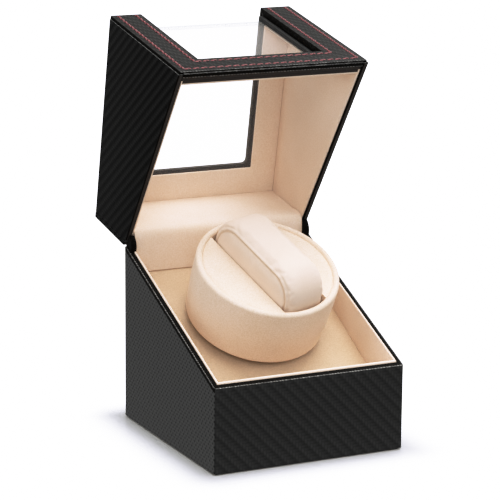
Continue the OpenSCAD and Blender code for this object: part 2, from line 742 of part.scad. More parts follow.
// A side pad fills the drum from its wall to the slot
module side_pad(side) color(cream) in_slot() intersection() {
    drum_room(drum_floor, drum_top - pad_drop, seat_gap);
    block([side > 0 ? slot_w / 2 : -big, -big, 0], [side > 0 ? big : -slot_w / 2, big, big]);
}

module drum_left_pad() side_pad(-1);

module drum_right_pad() side_pad(1);

module drum_slot_pad() color(cream) in_slot() intersection() {
    drum_room(drum_floor, drum_floor + slot_pad_t, seat_gap);
    block([-slot_w / 2 + seat_gap, -big, 0], [slot_w / 2 - seat_gap, big, big]);
}

// End view of the cushion: length by height, standing on z = 0
module cushion_end(l, h, r) {
    for (x = [-l / 2 + r, l / 2 - r], z = [r, h - r]) translate([x, z]) circle(r = r, $fn = 32);
    translate([-l / 2 + r, 0]) square([l - 2 * r, h]);
    translate([-l / 2, r]) square([l, h - 2 * r]);
}

module cushion() color(cream) in_slot() translate([0, 0, cushion_z]) hull() {
    along_x(-cushion_w / 2, cushion_w / 2)
        cushion_end(cushion_l - 2 * cushion_bulge, cushion_h - cushion_crown, cushion_r - 1);
    along_x(-cushion_w / 5, cushion_w / 5) cushion_end(cushion_l, cushion_h, cushion_r);
}

// ---------------------------------------------------------------- hinges

// Knuckles: the base leaf has the outer two, the lid leaf the middle one
knuckle_l = hinge_l / 3;

module leaf(x0, x1, up) difference() {
    union() {
        rod_x(hinge_y, hinge_z, x0, x1, knuckle_r);
        block([x0, leaf_y, hinge_z - (up ? 0 : leaf_l)], [x1, leaf_y + leaf_t, hinge_z + (up ? leaf_l : 0)]);
    }
    rod_x(hinge_y, hinge_z, x0 - 1, x1 + 1, hinge_pin_r + running_gap);
}

module hinge_base_leaves() color(steel) place() for (s = [-1, 1]) {
    x = s * hinge_x;
    leaf(x - hinge_l / 2, x - knuckle_l / 2 - seat_gap, false);
    leaf(x + knuckle_l / 2 + seat_gap, x + hinge_l / 2, false);
}

module hinge_lid_leaves() color(steel) open_lid() for (s = [-1, 1]) {
    x = s * hinge_x;
    leaf(x - knuckle_l / 2 + seat_gap, x + knuckle_l / 2 - seat_gap, true);
}

module hinge_pins() color(steel) place() for (s = [-1, 1])
    rod_x(hinge_y, hinge_z, s * hinge_x - hinge_l / 2, s * hinge_x + hinge_l / 2, hinge_pin_r);

// Flap that bridges the inside of the hinge, from the base's lining to the open lid's
flap_t = 0.8;
// Where a point (y, z) of the closed lid lies on the open lid
function opened(p) = [hinge_y + (p[0] - hinge_y) * cos(open_angle) + (p[1] - hinge_z) * sin(open_angle),
    hinge_z - (p[0] - hinge_y) * sin(open_angle) + (p[1] - hinge_z) * cos(open_angle)];
flap_y = inner_y1 - back_lining_t + flap_t;
flap_lid_y = lid_back_in + 0.5;
flap_low = [flap_y, rim_z(flap_y) + rim_rise(lining_rise) + 0.15];
flap_high = opened([flap_lid_y, rim_z(flap_lid_y) + lining_lift - 0.15]);

module hinge_flap() color(cream) place()
    along_x(-lid_inner_x, lid_inner_x)
        polygon([flap_low, flap_high, flap_high - [flap_t, 0], flap_low - [flap_t, 0]]);

// ---------------------------------------------------------------- lid

module lid_side_panel(x0, x1) color(black_leather) open_lid() along_x(x0, x1) {
    z0 = rim_z(0) + lid_rise;
    z1 = rim_z(box_d - panel_t) + lid_rise;
    polygon([[0, z0], [box_d - panel_t, z1], [box_d - panel_t, closed_h], [0, closed_h]]);
}

module lid_left_panel() lid_side_panel(-half_w, -half_w + panel_t);

module lid_right_panel() lid_side_panel(half_w - panel_t, half_w);

module lid_back_panel() color(black_leather) open_lid() difference() {
    along_x(-half_w, half_w) polygon([[box_d - panel_t, rim_z(box_d - panel_t) + lid_rise],
        [box_d, rim_z(box_d) + lid_rise], [box_d, closed_h], [box_d - panel_t, closed_h]]);
    hinge_corner(true);
    knuckle_room();
    kerfs(true);
}

frame_x = half_w - frame_step;
body_x = half_w - panel_t;

// Where the rebate starts that clears the base's front lining
rebate_y = inner_y0 - soft_gap;

// The front frame: a U of board in stitched leather, mitred to the top frame
module front_frame() color(frame_leather) open_lid() difference() {
    union() {
        along_x(-body_x, body_x) polygon([[0, rim_z(0) + lid_rise],
            [rebate_y, rim_z(rebate_y) + lid_rise], [rebate_y, rim_z(rebate_y) + lining_lift],
            [frame_t, rim_z(frame_t) + lining_lift], [frame_t, closed_h - frame_t], [0, closed_h]]);
        along_x(-frame_x, frame_x) polygon([[-frame_proud, rim_z(0) + lid_rise + frame_step],
            [0, rim_z(0) + lid_rise + frame_step], [0, closed_h], [-frame_proud, closed_h + frame_proud]]);
    }
    block([-half_window, -big / 2, front_open_z], [half_window, frame_t + 1, big]);
}

// The top frame: the same, open towards the front
module top_frame() color(frame_leather) open_lid() difference() {
    union() {
        along_x(-body_x, body_x) polygon([[0, closed_h], [frame_t, closed_h - frame_t],
            [box_d - panel_t, closed_h - frame_t], [box_d - panel_t, closed_h]]);
        along_x(-frame_x, frame_x) polygon([[-frame_proud, closed_h + frame_proud], [0, closed_h],
            [box_d - frame_step, closed_h], [box_d - frame_step, closed_h + frame_proud]]);
    }
    block([-half_window, -big / 2, closed_h - frame_t - 1], [half_window, top_open_y, big]);
}

// Opening of a window with two rounded corners at its closed end, drawn in the window's plane
module window_shape(half, end, far) {
    translate([-half, end + gasket_r]) square([2 * half, far - end - gasket_r]);
    translate([-half + gasket_r, end]) square([2 * (half - gasket_r), far - end]);
    for (s = [-1, 1]) translate([s * (half - gasket_r), end + gasket_r]) circle(r = gasket_r, $fn = 48);
}

// The gasket lines the back edge of both openings and holds the panes
module window_gasket() color("#17181a") open_lid() {
    half = half_window - gasket_w;
    translate([0, frame_t, 0]) rotate([90, 0, 0]) linear_extrude(gasket_t) difference() {
        translate([-half_window, front_open_z]) square([window_w, closed_h - frame_t - front_open_z]);
        window_shape(half, front_open_z + gasket_w, big);
    }
    translate([0, 0, closed_h - frame_t]) linear_extrude(gasket_t) mirror([0, 1]) difference() {
        translate([-half_window, -top_open_y]) square([window_w, top_open_y - frame_t]);
        window_shape(half, -top_open_y + gasket_w, big);
    }
    for (x = [-half_window, half]) block([x, frame_t - gasket_t, closed_h - frame_t - layer],
        [x + gasket_w, frame_t + layer, closed_h - frame_t + gasket_t]);
}

pane_x = half_window + pane_lap;

module front_pane() color([0.85, 0.9, 0.9, 0.35]) open_lid()
    block([-pane_x, frame_t, front_open_z - pane_lap], [pane_x, frame_t + pane_t, closed_h - frame_t - pane_t]);

module top_pane() color([0.85, 0.9, 0.9, 0.35]) open_lid()
    block([-pane_x, frame_t, closed_h - frame_t - pane_t], [pane_x, top_open_y + pane_lap, closed_h - frame_t]);

module lid_side_lining(x0, x1) color(cream) open_lid() along_x(x0, x1) {
    y0 = frame_t;
    y1 = box_d - panel_t;
    polygon([[y0, rim_z(y0) + lining_lift], [y1, rim_z(y1) + lining_lift],
             [y1, closed_h - frame_t], [y0, closed_h - frame_t]]);
}

module lid_lining_left() lid_side_lining(-inner_x, -lid_inner_x);

module lid_lining_right() lid_side_lining(lid_inner_x, inner_x);

module lid_lining_back() color(cream) open_lid() along_x(-lid_inner_x, lid_inner_x) {
    y1 = box_d - panel_t;
    top = closed_h - lid_front_in;
    polygon([[lid_back_in, rim_z(lid_back_in) + lining_lift], [y1, rim_z(y1) + lining_lift], [y1, top],
             [lid_back_in, top]]);
}

// The frame linings have a rebate for the panes, and an opening a little wider than the gasket's
module lid_lining_front() color(cream) open_lid() difference() {
    along_x(-lid_inner_x, lid_inner_x) polygon([[frame_t, rim_z(frame_t) + lining_lift],
        [lid_front_in, rim_z(lid_front_in) + lining_lift], [lid_front_in, closed_h - lid_front_in],
        [frame_t, closed_h - frame_t]]);
    block([-pane_x - seat_gap, frame_t - 1, front_open_z - pane_lap - seat_gap],
          [pane_x + seat_gap, frame_t + pane_t + seat_gap, big]);
    block([-half_window + lining_lap, 0, front_open_z - lining_lap], [half_window - lining_lap, big, big]);
}

module lid_lining_top() color(cream) open_lid() difference() {
    along_x(-lid_inner_x, lid_inner_x) polygon([[frame_t, closed_h - frame_t],
        [lid_front_in, closed_h - lid_front_in], [box_d - panel_t, closed_h - lid_front_in],
        [box_d - panel_t, closed_h - frame_t]]);
    block([-pane_x - seat_gap, -1, closed_h - frame_t - pane_t - seat_gap],
          [pane_x + seat_gap, top_open_y + pane_lap + seat_gap, big]);
    block([-half_window + lining_lap, 0, 0], [half_window - lining_lap, top_open_y - lining_lap, big]);
}

// ---------------------------------------------------------------- nodes

base_leather();
base_front_board();
base_back_board();
base_left_board();
base_right_board();
base_floor();
base_felt_pad();
lining_front();
lining_back();
lining_left();
lining_right();
deck_board();
deck_velvet();
deck_rails();
gearbox_plate();
gearbox_case();
gearbox_screws();
gear_axles();
shaft_bush();
motor_can();
motor_end_cap();
motor_pinion();
first_gear();
second_gear();
output_gear();
output_shaft();
control_board();
board_parts();
board_spacers();
inner_leads();
dc_jack();
dc_jack_nut();
mode_switch();
mode_switch_lever();
drum_hub();
hub_screws();
drum_base();
drum_wall();
drum_left_pad();
drum_right_pad();
drum_slot_pad();
cushion();
hinge_base_leaves();
hinge_lid_leaves();
hinge_pins();
hinge_flap();
lid_left_panel();
lid_right_panel();
lid_back_panel();
front_frame();
top_frame();
window_gasket();
front_pane();
top_pane();
lid_lining_left();
lid_lining_right();
lid_lining_back();
lid_lining_front();
lid_lining_top();
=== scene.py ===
import json
import math

import bmesh
import bpy
import numpy as np
from bpy.props import FloatProperty, FloatVectorProperty, IntProperty, PointerProperty
from mathutils import Matrix, Vector


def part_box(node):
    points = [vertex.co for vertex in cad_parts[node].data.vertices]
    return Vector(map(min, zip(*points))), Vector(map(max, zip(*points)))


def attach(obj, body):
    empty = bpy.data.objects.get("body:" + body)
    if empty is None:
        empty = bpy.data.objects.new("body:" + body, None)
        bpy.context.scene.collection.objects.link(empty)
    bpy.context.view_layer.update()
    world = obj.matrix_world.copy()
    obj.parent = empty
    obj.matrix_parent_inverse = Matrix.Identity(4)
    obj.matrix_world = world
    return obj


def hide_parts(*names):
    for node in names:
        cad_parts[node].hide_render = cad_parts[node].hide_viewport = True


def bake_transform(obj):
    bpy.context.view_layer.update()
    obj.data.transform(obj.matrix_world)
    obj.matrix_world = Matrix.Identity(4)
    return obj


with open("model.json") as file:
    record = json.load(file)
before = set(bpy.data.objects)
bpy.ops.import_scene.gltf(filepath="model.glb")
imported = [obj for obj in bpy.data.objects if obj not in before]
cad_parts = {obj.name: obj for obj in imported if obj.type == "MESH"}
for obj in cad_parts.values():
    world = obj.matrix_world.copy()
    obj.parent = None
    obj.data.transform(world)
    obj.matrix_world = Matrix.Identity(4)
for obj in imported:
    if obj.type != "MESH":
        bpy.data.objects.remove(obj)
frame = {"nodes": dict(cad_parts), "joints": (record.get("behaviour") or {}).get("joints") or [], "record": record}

bl_info = {
    "name": "Watch winder box",
    "version": (1, 0, 0),
    "blender": (4, 5, 0),
    "location": "3D View > Sidebar > Winder",
    "description": "Covers, velvet, stitching and window of a single watch winder box",
    "category": "Object",
}

# ---------------------------------------------------------------- the frame's own places
# Metres throughout. +X is right, the front faces -Y and +Z is up.

MM = 0.001
SLOT_TURN = math.radians(15)  # turn of the drum's slot from straight ahead

JOINTS = {j["name"]: j for j in frame["joints"]}
HINGE = Vector(JOINTS["lid_hinge"]["pos_m"])
OPEN_ANGLE = math.radians(-JOINTS["lid_hinge"]["range_deg"][0])
DRUM_FOOT = Vector(JOINTS["drum_spin"]["pos_m"])
DRUM_AXIS = Vector(JOINTS["drum_spin"]["axis"])
DECK_TILT = math.atan2(-DRUM_AXIS.y, DRUM_AXIS.z)

BASE_LOW, BASE_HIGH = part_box("base_leather")
HALF_WIDTH = BASE_HIGH.x
FRONT_Y = BASE_LOW.y
BACK_Y = BASE_HIGH.y
FLOOR_LINE = BASE_LOW.z

# Turns a place on the closed lid to where the open lid rests, and back
LID_OPEN = (Matrix.Translation(HINGE) @ Matrix.Rotation(-OPEN_ANGLE, 4, "X")
            @ Matrix.Translation(-HINGE))
LID_CLOSED = LID_OPEN.inverted()
# Deck coordinates: origin on the drum's axis at the deck's top, +Z along the axis
DECK = Matrix.Translation(DRUM_FOOT) @ Matrix.Rotation(DECK_TILT, 4, "X")
# Slot coordinates: the same, with +Y along the slot
SLOT = DECK @ Matrix.Rotation(SLOT_TURN, 4, "Z")
UPRIGHT = Matrix.Identity(4)
RIGHT, BACK, UP = (Vector(axis) for axis in ((1, 0, 0), (0, 1, 0), (0, 0, 1)))


def points_of(node, matrix=UPRIGHT):
    """A CAD node's points, in the coordinates that matrix places."""
    back = matrix.inverted()
    return [back @ v.co for v in frame["nodes"][node].data.vertices]


def front_face(node, matrix=UPRIGHT):
    """The points of a CAD node's foremost face."""
    points = points_of(node, matrix)
    front = min(p.y for p in points)
    return [p for p in points if p.y < front + 0.1 * MM]


def corners(points):
    """The lowest and the highest corner of the box round some points."""
    return Vector(map(min, zip(*points))), Vector(map(max, zip(*points)))


def box_in(node, matrix):
    """The corners of a CAD node's box, in the coordinates that matrix places."""
    return corners(points_of(node, matrix))


def closed_box(node):
    """The corners of a lid's node, as it is when the lid is closed."""
    return box_in(node, LID_OPEN)


def slope_of(node):
    """The normal of a CAD node's largest sloping face."""
    slopes = (f for f in frame["nodes"][node].data.polygons if 0.5 < f.normal.z < 0.99)
    return max(slopes, key=lambda f: f.area).normal.copy()


RIM_UP = slope_of("base_leather")  # square to the base's sloping rim
DRUM_LOW, DRUM_HIGH = box_in("drum_wall", DECK)
PAD_LOW, PAD_HIGH = box_in("drum_right_pad", DECK)
SLOT_SIDE = box_in("drum_right_pad", SLOT)[0].x
CUSHION_LOW, CUSHION_HIGH = box_in("cushion", SLOT)


# ---------------------------------------------------------------- sizes and colours

def length(name, value, text):
    """A length that a user can set."""
    return FloatProperty(name=name, description=text, default=value, min=0.0, unit="LENGTH", precision=5)


def angle(name, degrees, text):
    """An angle that a user can set."""
    return FloatProperty(name=name, description=text, default=math.radians(degrees), unit="ROTATION")


def share(name, value, text):
    """A share that a user can set."""
    return FloatProperty(name=name, description=text, default=value, min=0.0, max=1.0, subtype="FACTOR")


def colour(name, value, text):
    """A colour that a user can set."""
    return FloatVectorProperty(name=name, description=text, default=value, subtype="COLOR", size=3,
                               min=0.0, max=1.0)


class LeatherSettings(bpy.types.PropertyGroup):
    """The embossed leather of the case and the lid"""
    weave_pitch: length("Weave pitch", 2.0 * MM, "Width of one embossed strand")
    weave_depth: length("Weave depth", 0.16 * MM, "Depth of the embossing")
    edge_round: length("Edge rounding", 0.7 * MM, "Radius of the leather over the boards' edges")
    # painted highlight: width of the light band along the base's rim's outer edge
    crease: length("Crease", 0.7 * MM, "Width of the worn leather along the base's rim")
    binding: length("Binding", 2.4 * MM, "Width of the black binding below the base's rim")
    turned_in: length("Turned in", 2.3 * MM, "Width of the frame's leather turned over the lid's rim")
    # painted highlight: width of the light line along the fold behind the turned-in leather
    fold_highlight: length("Fold", 0.69 * MM, "Width of the worn fold behind the turned-in leather")
    frame_round: length("Frame rounding", 1.1 * MM, "Radius of the window frames' outer edges")
    # Painted light: side, front and lid are one leather, the sides painted lighter as lit, the front, back and lid
    # panels darker as shaded
    side_colour: colour("Side", (0.072, 0.072, 0.072), "Colour of the base's side faces")
    front_colour: colour("Front", (0.041, 0.041, 0.041), "Colour of the base's front and back faces")
    rim_colour: colour("Rim", (0.005, 0.0042, 0.0035), "Colour of the turned-in rims and edges")
    lid_colour: colour("Lid", (0.020, 0.020, 0.020), "Colour of the lid's side and back panels")
    lid_rim_colour: colour("Lid rim", (0.050, 0.043, 0.040), "Colour of the lid's rim")
    # painted highlight: colour of the light bands along the leather's edges
    crease_colour: colour("Creases", (0.24, 0.235, 0.23), "Colour of the worn leather over sharp edges")
    frame_colour: colour("Frames", (0.041, 0.040, 0.039), "Colour of the window frames")


class StitchSettings(bpy.types.PropertyGroup):
    """The red seams along the window frames"""
    stitch: length("Stitch length", 5.3 * MM, "Length of one stitch")
    pitch: length("Stitch pitch", 5.3 * MM, "Distance from one stitch to the next")
    thread: length("Thread width", 1.5 * MM, "Width of the thread")
    inset: length("Inset", 4.6 * MM, "Distance of a seam from the leather's edge")
    hem: length("Hem", 1.0 * MM, "Further distance of the outer seam from the lid's lower edge")
    corner_gap: length("Corner gap", 1.4 * MM, "Distance of a seam's end from the lid's front top edge")
    slant: angle("Slant", 11, "Turn of each stitch across its seam")
    thread_colour: colour("Thread", (0.115, 0.006, 0.012), "Colour of the thread")


class VelvetSettings(bpy.types.PropertyGroup):
    """The cream velvet: its colour where the pile catches the light, and deep between its tufts"""
    lining_light: colour("Lining, light", (0.90, 0.77, 0.68), "Lit pile of the linings")
    lining_deep: colour("Lining, deep", (0.69, 0.52, 0.375), "Deep pile of the linings")
    # Painted shade: the deck's velvet is a darker, browner copy of the linings' velvet, for the shade it lies in
    # round the drum
    deck_light: colour("Deck, light", (0.79, 0.625, 0.49), "Lit pile of the deck")
    deck_deep: colour("Deck, deep", (0.52, 0.375, 0.235), "Deep pile of the deck")
    drum_light: colour("Drum, light", (0.89, 0.74, 0.64), "Lit pile of the drum")
    drum_deep: colour("Drum, deep", (0.64, 0.478, 0.32), "Deep pile of the drum")
    cushion_light: colour("Cushion, light", (0.81, 0.675, 0.58), "Lit pile of the watch cushion")
    cushion_deep: colour("Cushion, deep", (0.62, 0.47, 0.36), "Deep pile of the watch cushion")
    edge_round: length("Edge rounding", 0.45 * MM, "Radius of the lining cards' edges")
    hinge_round: length("Hinge rounding", 3.0 * MM, "Radius of the lid's lining over the hinge")
    bound: length("Bound edge", 2.0 * MM, "Depth of the leather over the front lining's lower edge")


class WindowSettings(bpy.types.PropertyGroup):
    """The lid's panes and their gasket"""
    # Painted reflection: the faint whitish veil over the panes stands in for their reflection
    pane_reflection_colour: colour("Pane", (0.86, 0.84, 0.84), "Colour of a pane's veil")
    pane_reflection_veil: share("Pane veil", 0.09, "How much a pane's faces hide")
    edge_colour: colour("Pane edge", (0.22, 0.25, 0.24), "Colour of a pane's cut edge")
    edge_alpha: share("Edge veil", 0.45, "How much a pane's cut edge hides")
    pane_round: length("Pane rounding", 0.2 * MM, "Width of the panes' broken edges")
    gasket_round: length("Gasket rounding", 0.5 * MM, "Radius of the gasket's edges")
    # Painted shade in the gasket's grooves and painted highlight on its ribs
    groove_shade_colour: colour("Gasket groove", (0.008, 0.006, 0.006), "Colour between the gasket's ribs")
    rib_highlight_colour: colour("Gasket rib", (0.030, 0.024, 0.023), "Colour of the gasket's ribs")
    rib_pitch: length("Rib pitch", 1.1 * MM, "Distance from one rib to the next")


class DrumSettings(bpy.types.PropertyGroup):
    """The padded drum"""
    top_radius: length("Top radius", DRUM_HIGH.x + 0.1 * MM, "Outer radius at the rim")
    bottom_radius: length("Bottom radius", DRUM_HIGH.x - 1.8 * MM, "Outer radius at the bottom")
    bottom: length("Bottom", DRUM_LOW.z, "Height of its bottom over the deck")
    top: length("Top", DRUM_HIGH.z, "Height of its rim over the deck")
    wall: length("Wall", 4.6 * MM, "Thickness of the padded wall")
    floor: length("Floor", PAD_LOW.z, "Height of the inner floor over the deck")
    pad_top: length("Pad top", PAD_HIGH.z, "Height of the side pads over the deck")
    slot_side: length("Slot side", SLOT_SIDE, "Distance from the slot's middle to its side")
    foot_round: length("Foot rounding", 2.0 * MM, "Radius of the padding at the drum's foot")
    swell: length("Swell", 0.5 * MM, "Distance that the padding stands out halfway up")
    pillow: length("Pillow", 0.4 * MM, "Height that the side pads bulge")
    crease: length("Crease", 0.8 * MM, "Depth of the side pads at the rim")
    crease_width: length("Crease width", 1.6 * MM, "Distance from the rim in which the side pads dip")
    pad_round: length("Pad rounding", 1.5 * MM, "Radius of the side pads along the slot")


class CushionSettings(bpy.types.PropertyGroup):
    """The watch cushion"""
    along: length("Length", CUSHION_HIGH.y - CUSHION_LOW.y + 1.2 * MM, "Length along the slot")
    height: length("Height", CUSHION_HIGH.z - CUSHION_LOW.z, "Height over the slot's pad")
    width: length("Width", CUSHION_HIGH.x - CUSHION_LOW.x, "Width across the slot")
    corner: length("Corner", 19.0 * MM, "Radius of the corners, seen from the side")
    foot: length("Foot", CUSHION_LOW.z, "Height of its underside over the deck")
    seam_inset: length("Seam inset", 4.6 * MM, "Distance of the side panels' seam from the outline")
    seam_depth: length("Seam depth", 0.7 * MM, "Depth of the side panels' seam")
    outer_depth: length("Outer seam depth", 0.6 * MM, "Depth of the seam outside the piping")
    piping: length("Piping", 2.8 * MM, "Distance from one seam to the other")
    piping_height: length("Piping height", 0.45 * MM, "Height of the piping between the seams")
    swell: length("Swell", 1.0 * MM, "Most that the filling pushes the cover out")
    voxel: length("Voxel", 1.9 * MM, "Size of the remesh before the cloth is blown up")
    steps: IntProperty(name="Steps", description="Frames of the cloth's swelling", default=18, min=2)


class HingeSettings(bpy.types.PropertyGroup):
    """The cloth and the gussets that bridge the hinge"""
    thickness: length("Thickness", 0.5 * MM, "Thickness of the cloth")
    clearance: length("Clearance", 0.5 * MM, "Distance of the cloth from the linings and the deck")
    side_gap: length("Side gap", 0.2 * MM, "Distance of the cloth from the side linings")
    bend_low: length("Lower bend", 7.0 * MM, "How straight the cloth leaves the base's lining")
    bend_high: length("Upper bend", 6.0 * MM, "How straight the cloth meets the lid's lining")
    landing: length("Landing", 5.0 * MM, "Distance up the lid's lining at which the cloth meets it")
    lap: length("Lap", 5.0 * MM, "Length of the cloth that lies on the lid's lining")
    gusset_gap: length("Gusset gap", 0.3 * MM, "Distance from the cloth to a gusset")
    gusset_inset: length("Gusset inset", 1.0 * MM, "Distance of a gusset from the box's side")
    gusset_tip: length("Gusset tip", 0.25 * MM, "Distance of a gusset's tip from the pins' axis")
    gusset_cover: length("Gusset cover", 3.0 * MM, "How far a gusset reaches past the back lining")


class StageSettings(bpy.types.PropertyGroup):
    """The floor, the lights and the camera"""
    target: FloatVectorProperty(name="Target", description="Point that the camera looks at",
                                default=(-0.0372, -0.0584, 0.1354), size=3, unit="LENGTH")
    azimuth: angle("Azimuth", 26.09, "Turn of the camera from the front, to the left")
    elevation: angle("Elevation", 13.0, "Height of the camera over the horizon")
    roll: angle("Roll", 0.49, "Roll of the camera")
    distance: length("Distance", 1.45, "Distance from the camera to the target")
    lens: FloatProperty(name="Lens", description="Focal length in millimetres", default=174.2)
    # Painted shadow: the grey floor shows only round the box and fades into the white backdrop
    floor_shadow_colour: colour("Floor", (0.60, 0.60, 0.60), "Colour of the floor")
    painted_shadow_reach: length("Floor fade", 0.042, "Distance from the box at which the floor has faded away")
    ambient: FloatProperty(name="Ambient", description="Strength of the even light", default=0.55)
    white: FloatProperty(name="White", description="Brightness that comes out as white", default=2.0)


# Name, place, power in watts and width of each soft light
LIGHTS = (
    ("top_softbox", (0.1, -0.15, 1.75), 27.0, 1.2),
    ("back_softbox", (1.0, 0.5, 1.6), 20.0, 1.6),
    ("front_softbox", (-0.9, -1.8, 0.9), 12.0, 1.0),
    ("fill_softbox", (1.6, -1.3, 1.0), 8.0, 1.2),
    ("side_softbox", (-1.8, 0.0, 0.8), 9.0, 1.2),
)
LIGHTS_AIM = Vector((0, 0, 0.1))
# The pictures' contrast: the share of white that comes in, and the share that comes out
CONTRAST = ((0.025, 0.030), (0.075, 0.105), (0.15, 0.24), (0.25, 0.45), (0.35, 0.645), (0.45, 0.79),
            (0.55, 0.885), (0.70, 0.96))
# The same for blue alone, after the other: warmer shade, and cream that stays pink in the light
BLUE_CONTRAST = ((0.06, 0.059), (0.15, 0.146), (0.28, 0.29), (0.40, 0.437), (0.66, 0.715), (0.90, 0.92))

GROUPS = {
    "winder_leather": LeatherSettings,
    "winder_stitch": StitchSettings,
    "winder_velvet": VelvetSettings,
    "winder_window": WindowSettings,
    "winder_drum": DrumSettings,
    "winder_cushion": CushionSettings,
    "winder_hinge": HingeSettings,
    "winder_stage": StageSettings,
}


# ---------------------------------------------------------------- shader expressions

class Value:
    """A socket in a node tree. Arithmetic on it adds Math nodes."""

    def __init__(self, shader, socket):
        self.shader = shader
        self.socket = socket

    def maths(self, operation, *others):
        return self.shader.add("ShaderNodeMath", dict(enumerate((self, *others))), operation=operation)

    def __add__(self, other):
        return self.maths("ADD", other)

    def __mul__(self, other):
        return self.maths("MULTIPLY", other)

    def __sub__(self, other):
        return self.maths("SUBTRACT", other)

    def __rsub__(self, other):
        return self.shader.add("ShaderNodeMath", {0: other, 1: self}, operation="SUBTRACT")

    __radd__ = __add__
    __rmul__ = __mul__

    def floor(self):
        return self.maths("FLOOR")

    def fraction(self):
        return self.maths("FRACT")

    def sine(self):
        return self.maths("SINE")

    def absolute(self):
        return self.maths("ABSOLUTE")

    def power(self, other):
        return self.maths("POWER", other)

    def wrap(self, top):
        return self.maths("FLOORED_MODULO", top)

    def below(self, other):
        return self.maths("LESS_THAN", other)

    def largest(self, other):
        return self.maths("MAXIMUM", other)

    def from_middle(self):
        """Distance from the middle of its unit, 0 to 0.5."""
        return (self.fraction() - 0.5).absolute()

    def ramp(self, low, high):
        """0 below low, 1 above high, smooth between."""
        return self.shader.add("ShaderNodeMapRange", {"Value": self, "From Min": low, "From Max": high},
                               interpolation_type="SMOOTHSTEP")


class Shader:
    """A new material with one Principled surface."""

    def __init__(self, name):
        self.material = bpy.data.materials.new(name)
        self.material.use_nodes = True
        self.tree = self.material.node_tree
        self.surface = self.tree.nodes["Principled BSDF"]

    def add(self, kind, inputs=None, out=0, **settings):
        """Adds a node: its settings first, then its sockets' values or links. Returns the output
        that out names or counts."""
        node = self.tree.nodes.new(kind)
        for key, setting in settings.items():
            setattr(node, key, setting)
        for key, value in (inputs or {}).items():
            self.feed(node.inputs[key], value)
        return Value(self, node.outputs[out])

    def feed(self, socket, value):
        """Links a value to a socket, or sets the socket to a constant."""
        if isinstance(value, Value):
            self.tree.links.new(value.socket, socket)
        else:
            socket.default_value = value

    def mix(self, factor, first, second):
        """One colour over another."""
        first, second = (c if isinstance(c, Value) else rgba(c) for c in (first, second))
        return self.add("ShaderNodeMix", {0: factor, 6: first, 7: second}, out=2, data_type="RGBA")

    def place(self):
        """The point of the surface, in the object's own coordinates."""
        return self.add("ShaderNodeTexCoord", out="Object")

    def split(self, vector):
        """A vector's X and Y."""
        x = self.add("ShaderNodeSeparateXYZ", {0: vector}, out="X")
        return x, Value(self, x.socket.node.outputs["Y"])

    def map(self, name):
        """The two coordinates of a UV map."""
        return self.split(self.add("ShaderNodeUVMap", uv_map=name))

    def noise(self, point, scale, detail=2.0, roughness=0.5):
        """Soft noise between 0 and 1. scale is in lumps per metre."""
        inputs = {"Vector": point, "Scale": scale, "Detail": detail, "Roughness": roughness}
        return self.add("ShaderNodeTexNoise", inputs)

    def bump(self, height, distance):
        """The normal of a surface raised by height, which is 0 to 1, times distance."""
        return self.add("ShaderNodeBump", {"Height": height, "Distance": distance})

    def finish(self, **sockets):
        """Sets or links the surface's sockets. An underscore in a name stands for a space."""
        for key, value in sockets.items():
            self.feed(self.surface.inputs[key.replace("_", " ")], value)
        return self.material


def rgba(rgb):
    """A colour with its alpha."""
    return (*rgb, 1.0)


def tinted(rgb, factor):
    """A colour made darker or lighter by a factor."""
    return tuple(min(c * factor, 1.0) for c in rgb)


# Names of the UV map in metres and of the attribute along the cushion's seams
WEAVE = "weave"
SEAM = "seam"
TWILL = 4.0  # strands in one repeat of the embossed twill


def strand(across, along):
    """The height of one strand, which dips where it goes under the next. Both are in strands."""
    round_across = (across.fraction() * math.pi).sine().power(0.55)
    flat_along = (along * (math.pi / 2)).sine().absolute().power(0.4)
    return round_across * flat_along


def embossed_leather(name, base, sizes, rib=0.5, rib_width=0.35, fine=0.3, pits=0.0, roughness=0.48,
                     specular=0.15):
    """Leather embossed as a two-over, two-under twill, with painted shade. rib paints shade into the slanting
    grooves, fine into the gaps between the strands, and pits into the places where the strands cross over in a
    groove."""
    shader = Shader(name)
    u, v = (c * (1 / sizes.weave_pitch) for c in shader.map(WEAVE))
    column, row = u.floor(), v.floor()
    warp_on_top = (column + row).wrap(TWILL).below(TWILL / 2 - 0.5)
    height = warp_on_top * strand(u, v + column) + (1 - warp_on_top) * strand(v, u + row)
    groove = 1 - (0.5 - ((u + v) * (1 / TWILL)).from_middle()).ramp(0.0, rib_width)
    # painted shade in the grooves, the gaps between strands and the pits
    shade = (1 - groove * rib) * (1 - (1 - height) * fine)
    if pits:
        along, aside = (((u + v * way) * 0.5).from_middle() * 1.41 for way in (-1.0, 1.0))
        shade = shade * (1 - (1 - (along.power(2.0) + aside.power(2.0)).ramp(0.04, 0.22)) * pits)
    grain = shader.noise(shader.place(), 2600.0, 3.0)
    relief = height * 0.6 - groove * 0.5 + grain * 0.15
    return shader.finish(Base_Color=shader.mix(shade, tinted(base, 0.08), base),
                         Roughness=grain * 0.16 + (roughness - 0.08), Specular_IOR_Level=specular,
                         Normal=shader.bump(relief, sizes.weave_depth))


def painted_highlight_leather(name, base, sizes):
    """Leather drawn over a sharp edge, with a painted highlight: light dashes where the strands turn over it,
    broken up in places.
    """
    shader = Shader(name)
    u, v = shader.map(WEAVE)
    nick = ((u + v) * (math.pi / sizes.weave_pitch)).sine().absolute()
    highlight_breakup = shader.noise(shader.place(), 420.0).ramp(0.38, 0.62)
    # painted highlight: light dashes along the edge, patchy where the noise is low
    light = nick.ramp(0.3, 0.9) * (highlight_breakup * 0.75 + 0.25)
    return shader.finish(Base_Color=shader.mix(light, tinted(base, 0.05), base), Roughness=0.4,
                         Specular_IOR_Level=0.3, Normal=shader.bump(nick, sizes.weave_depth))


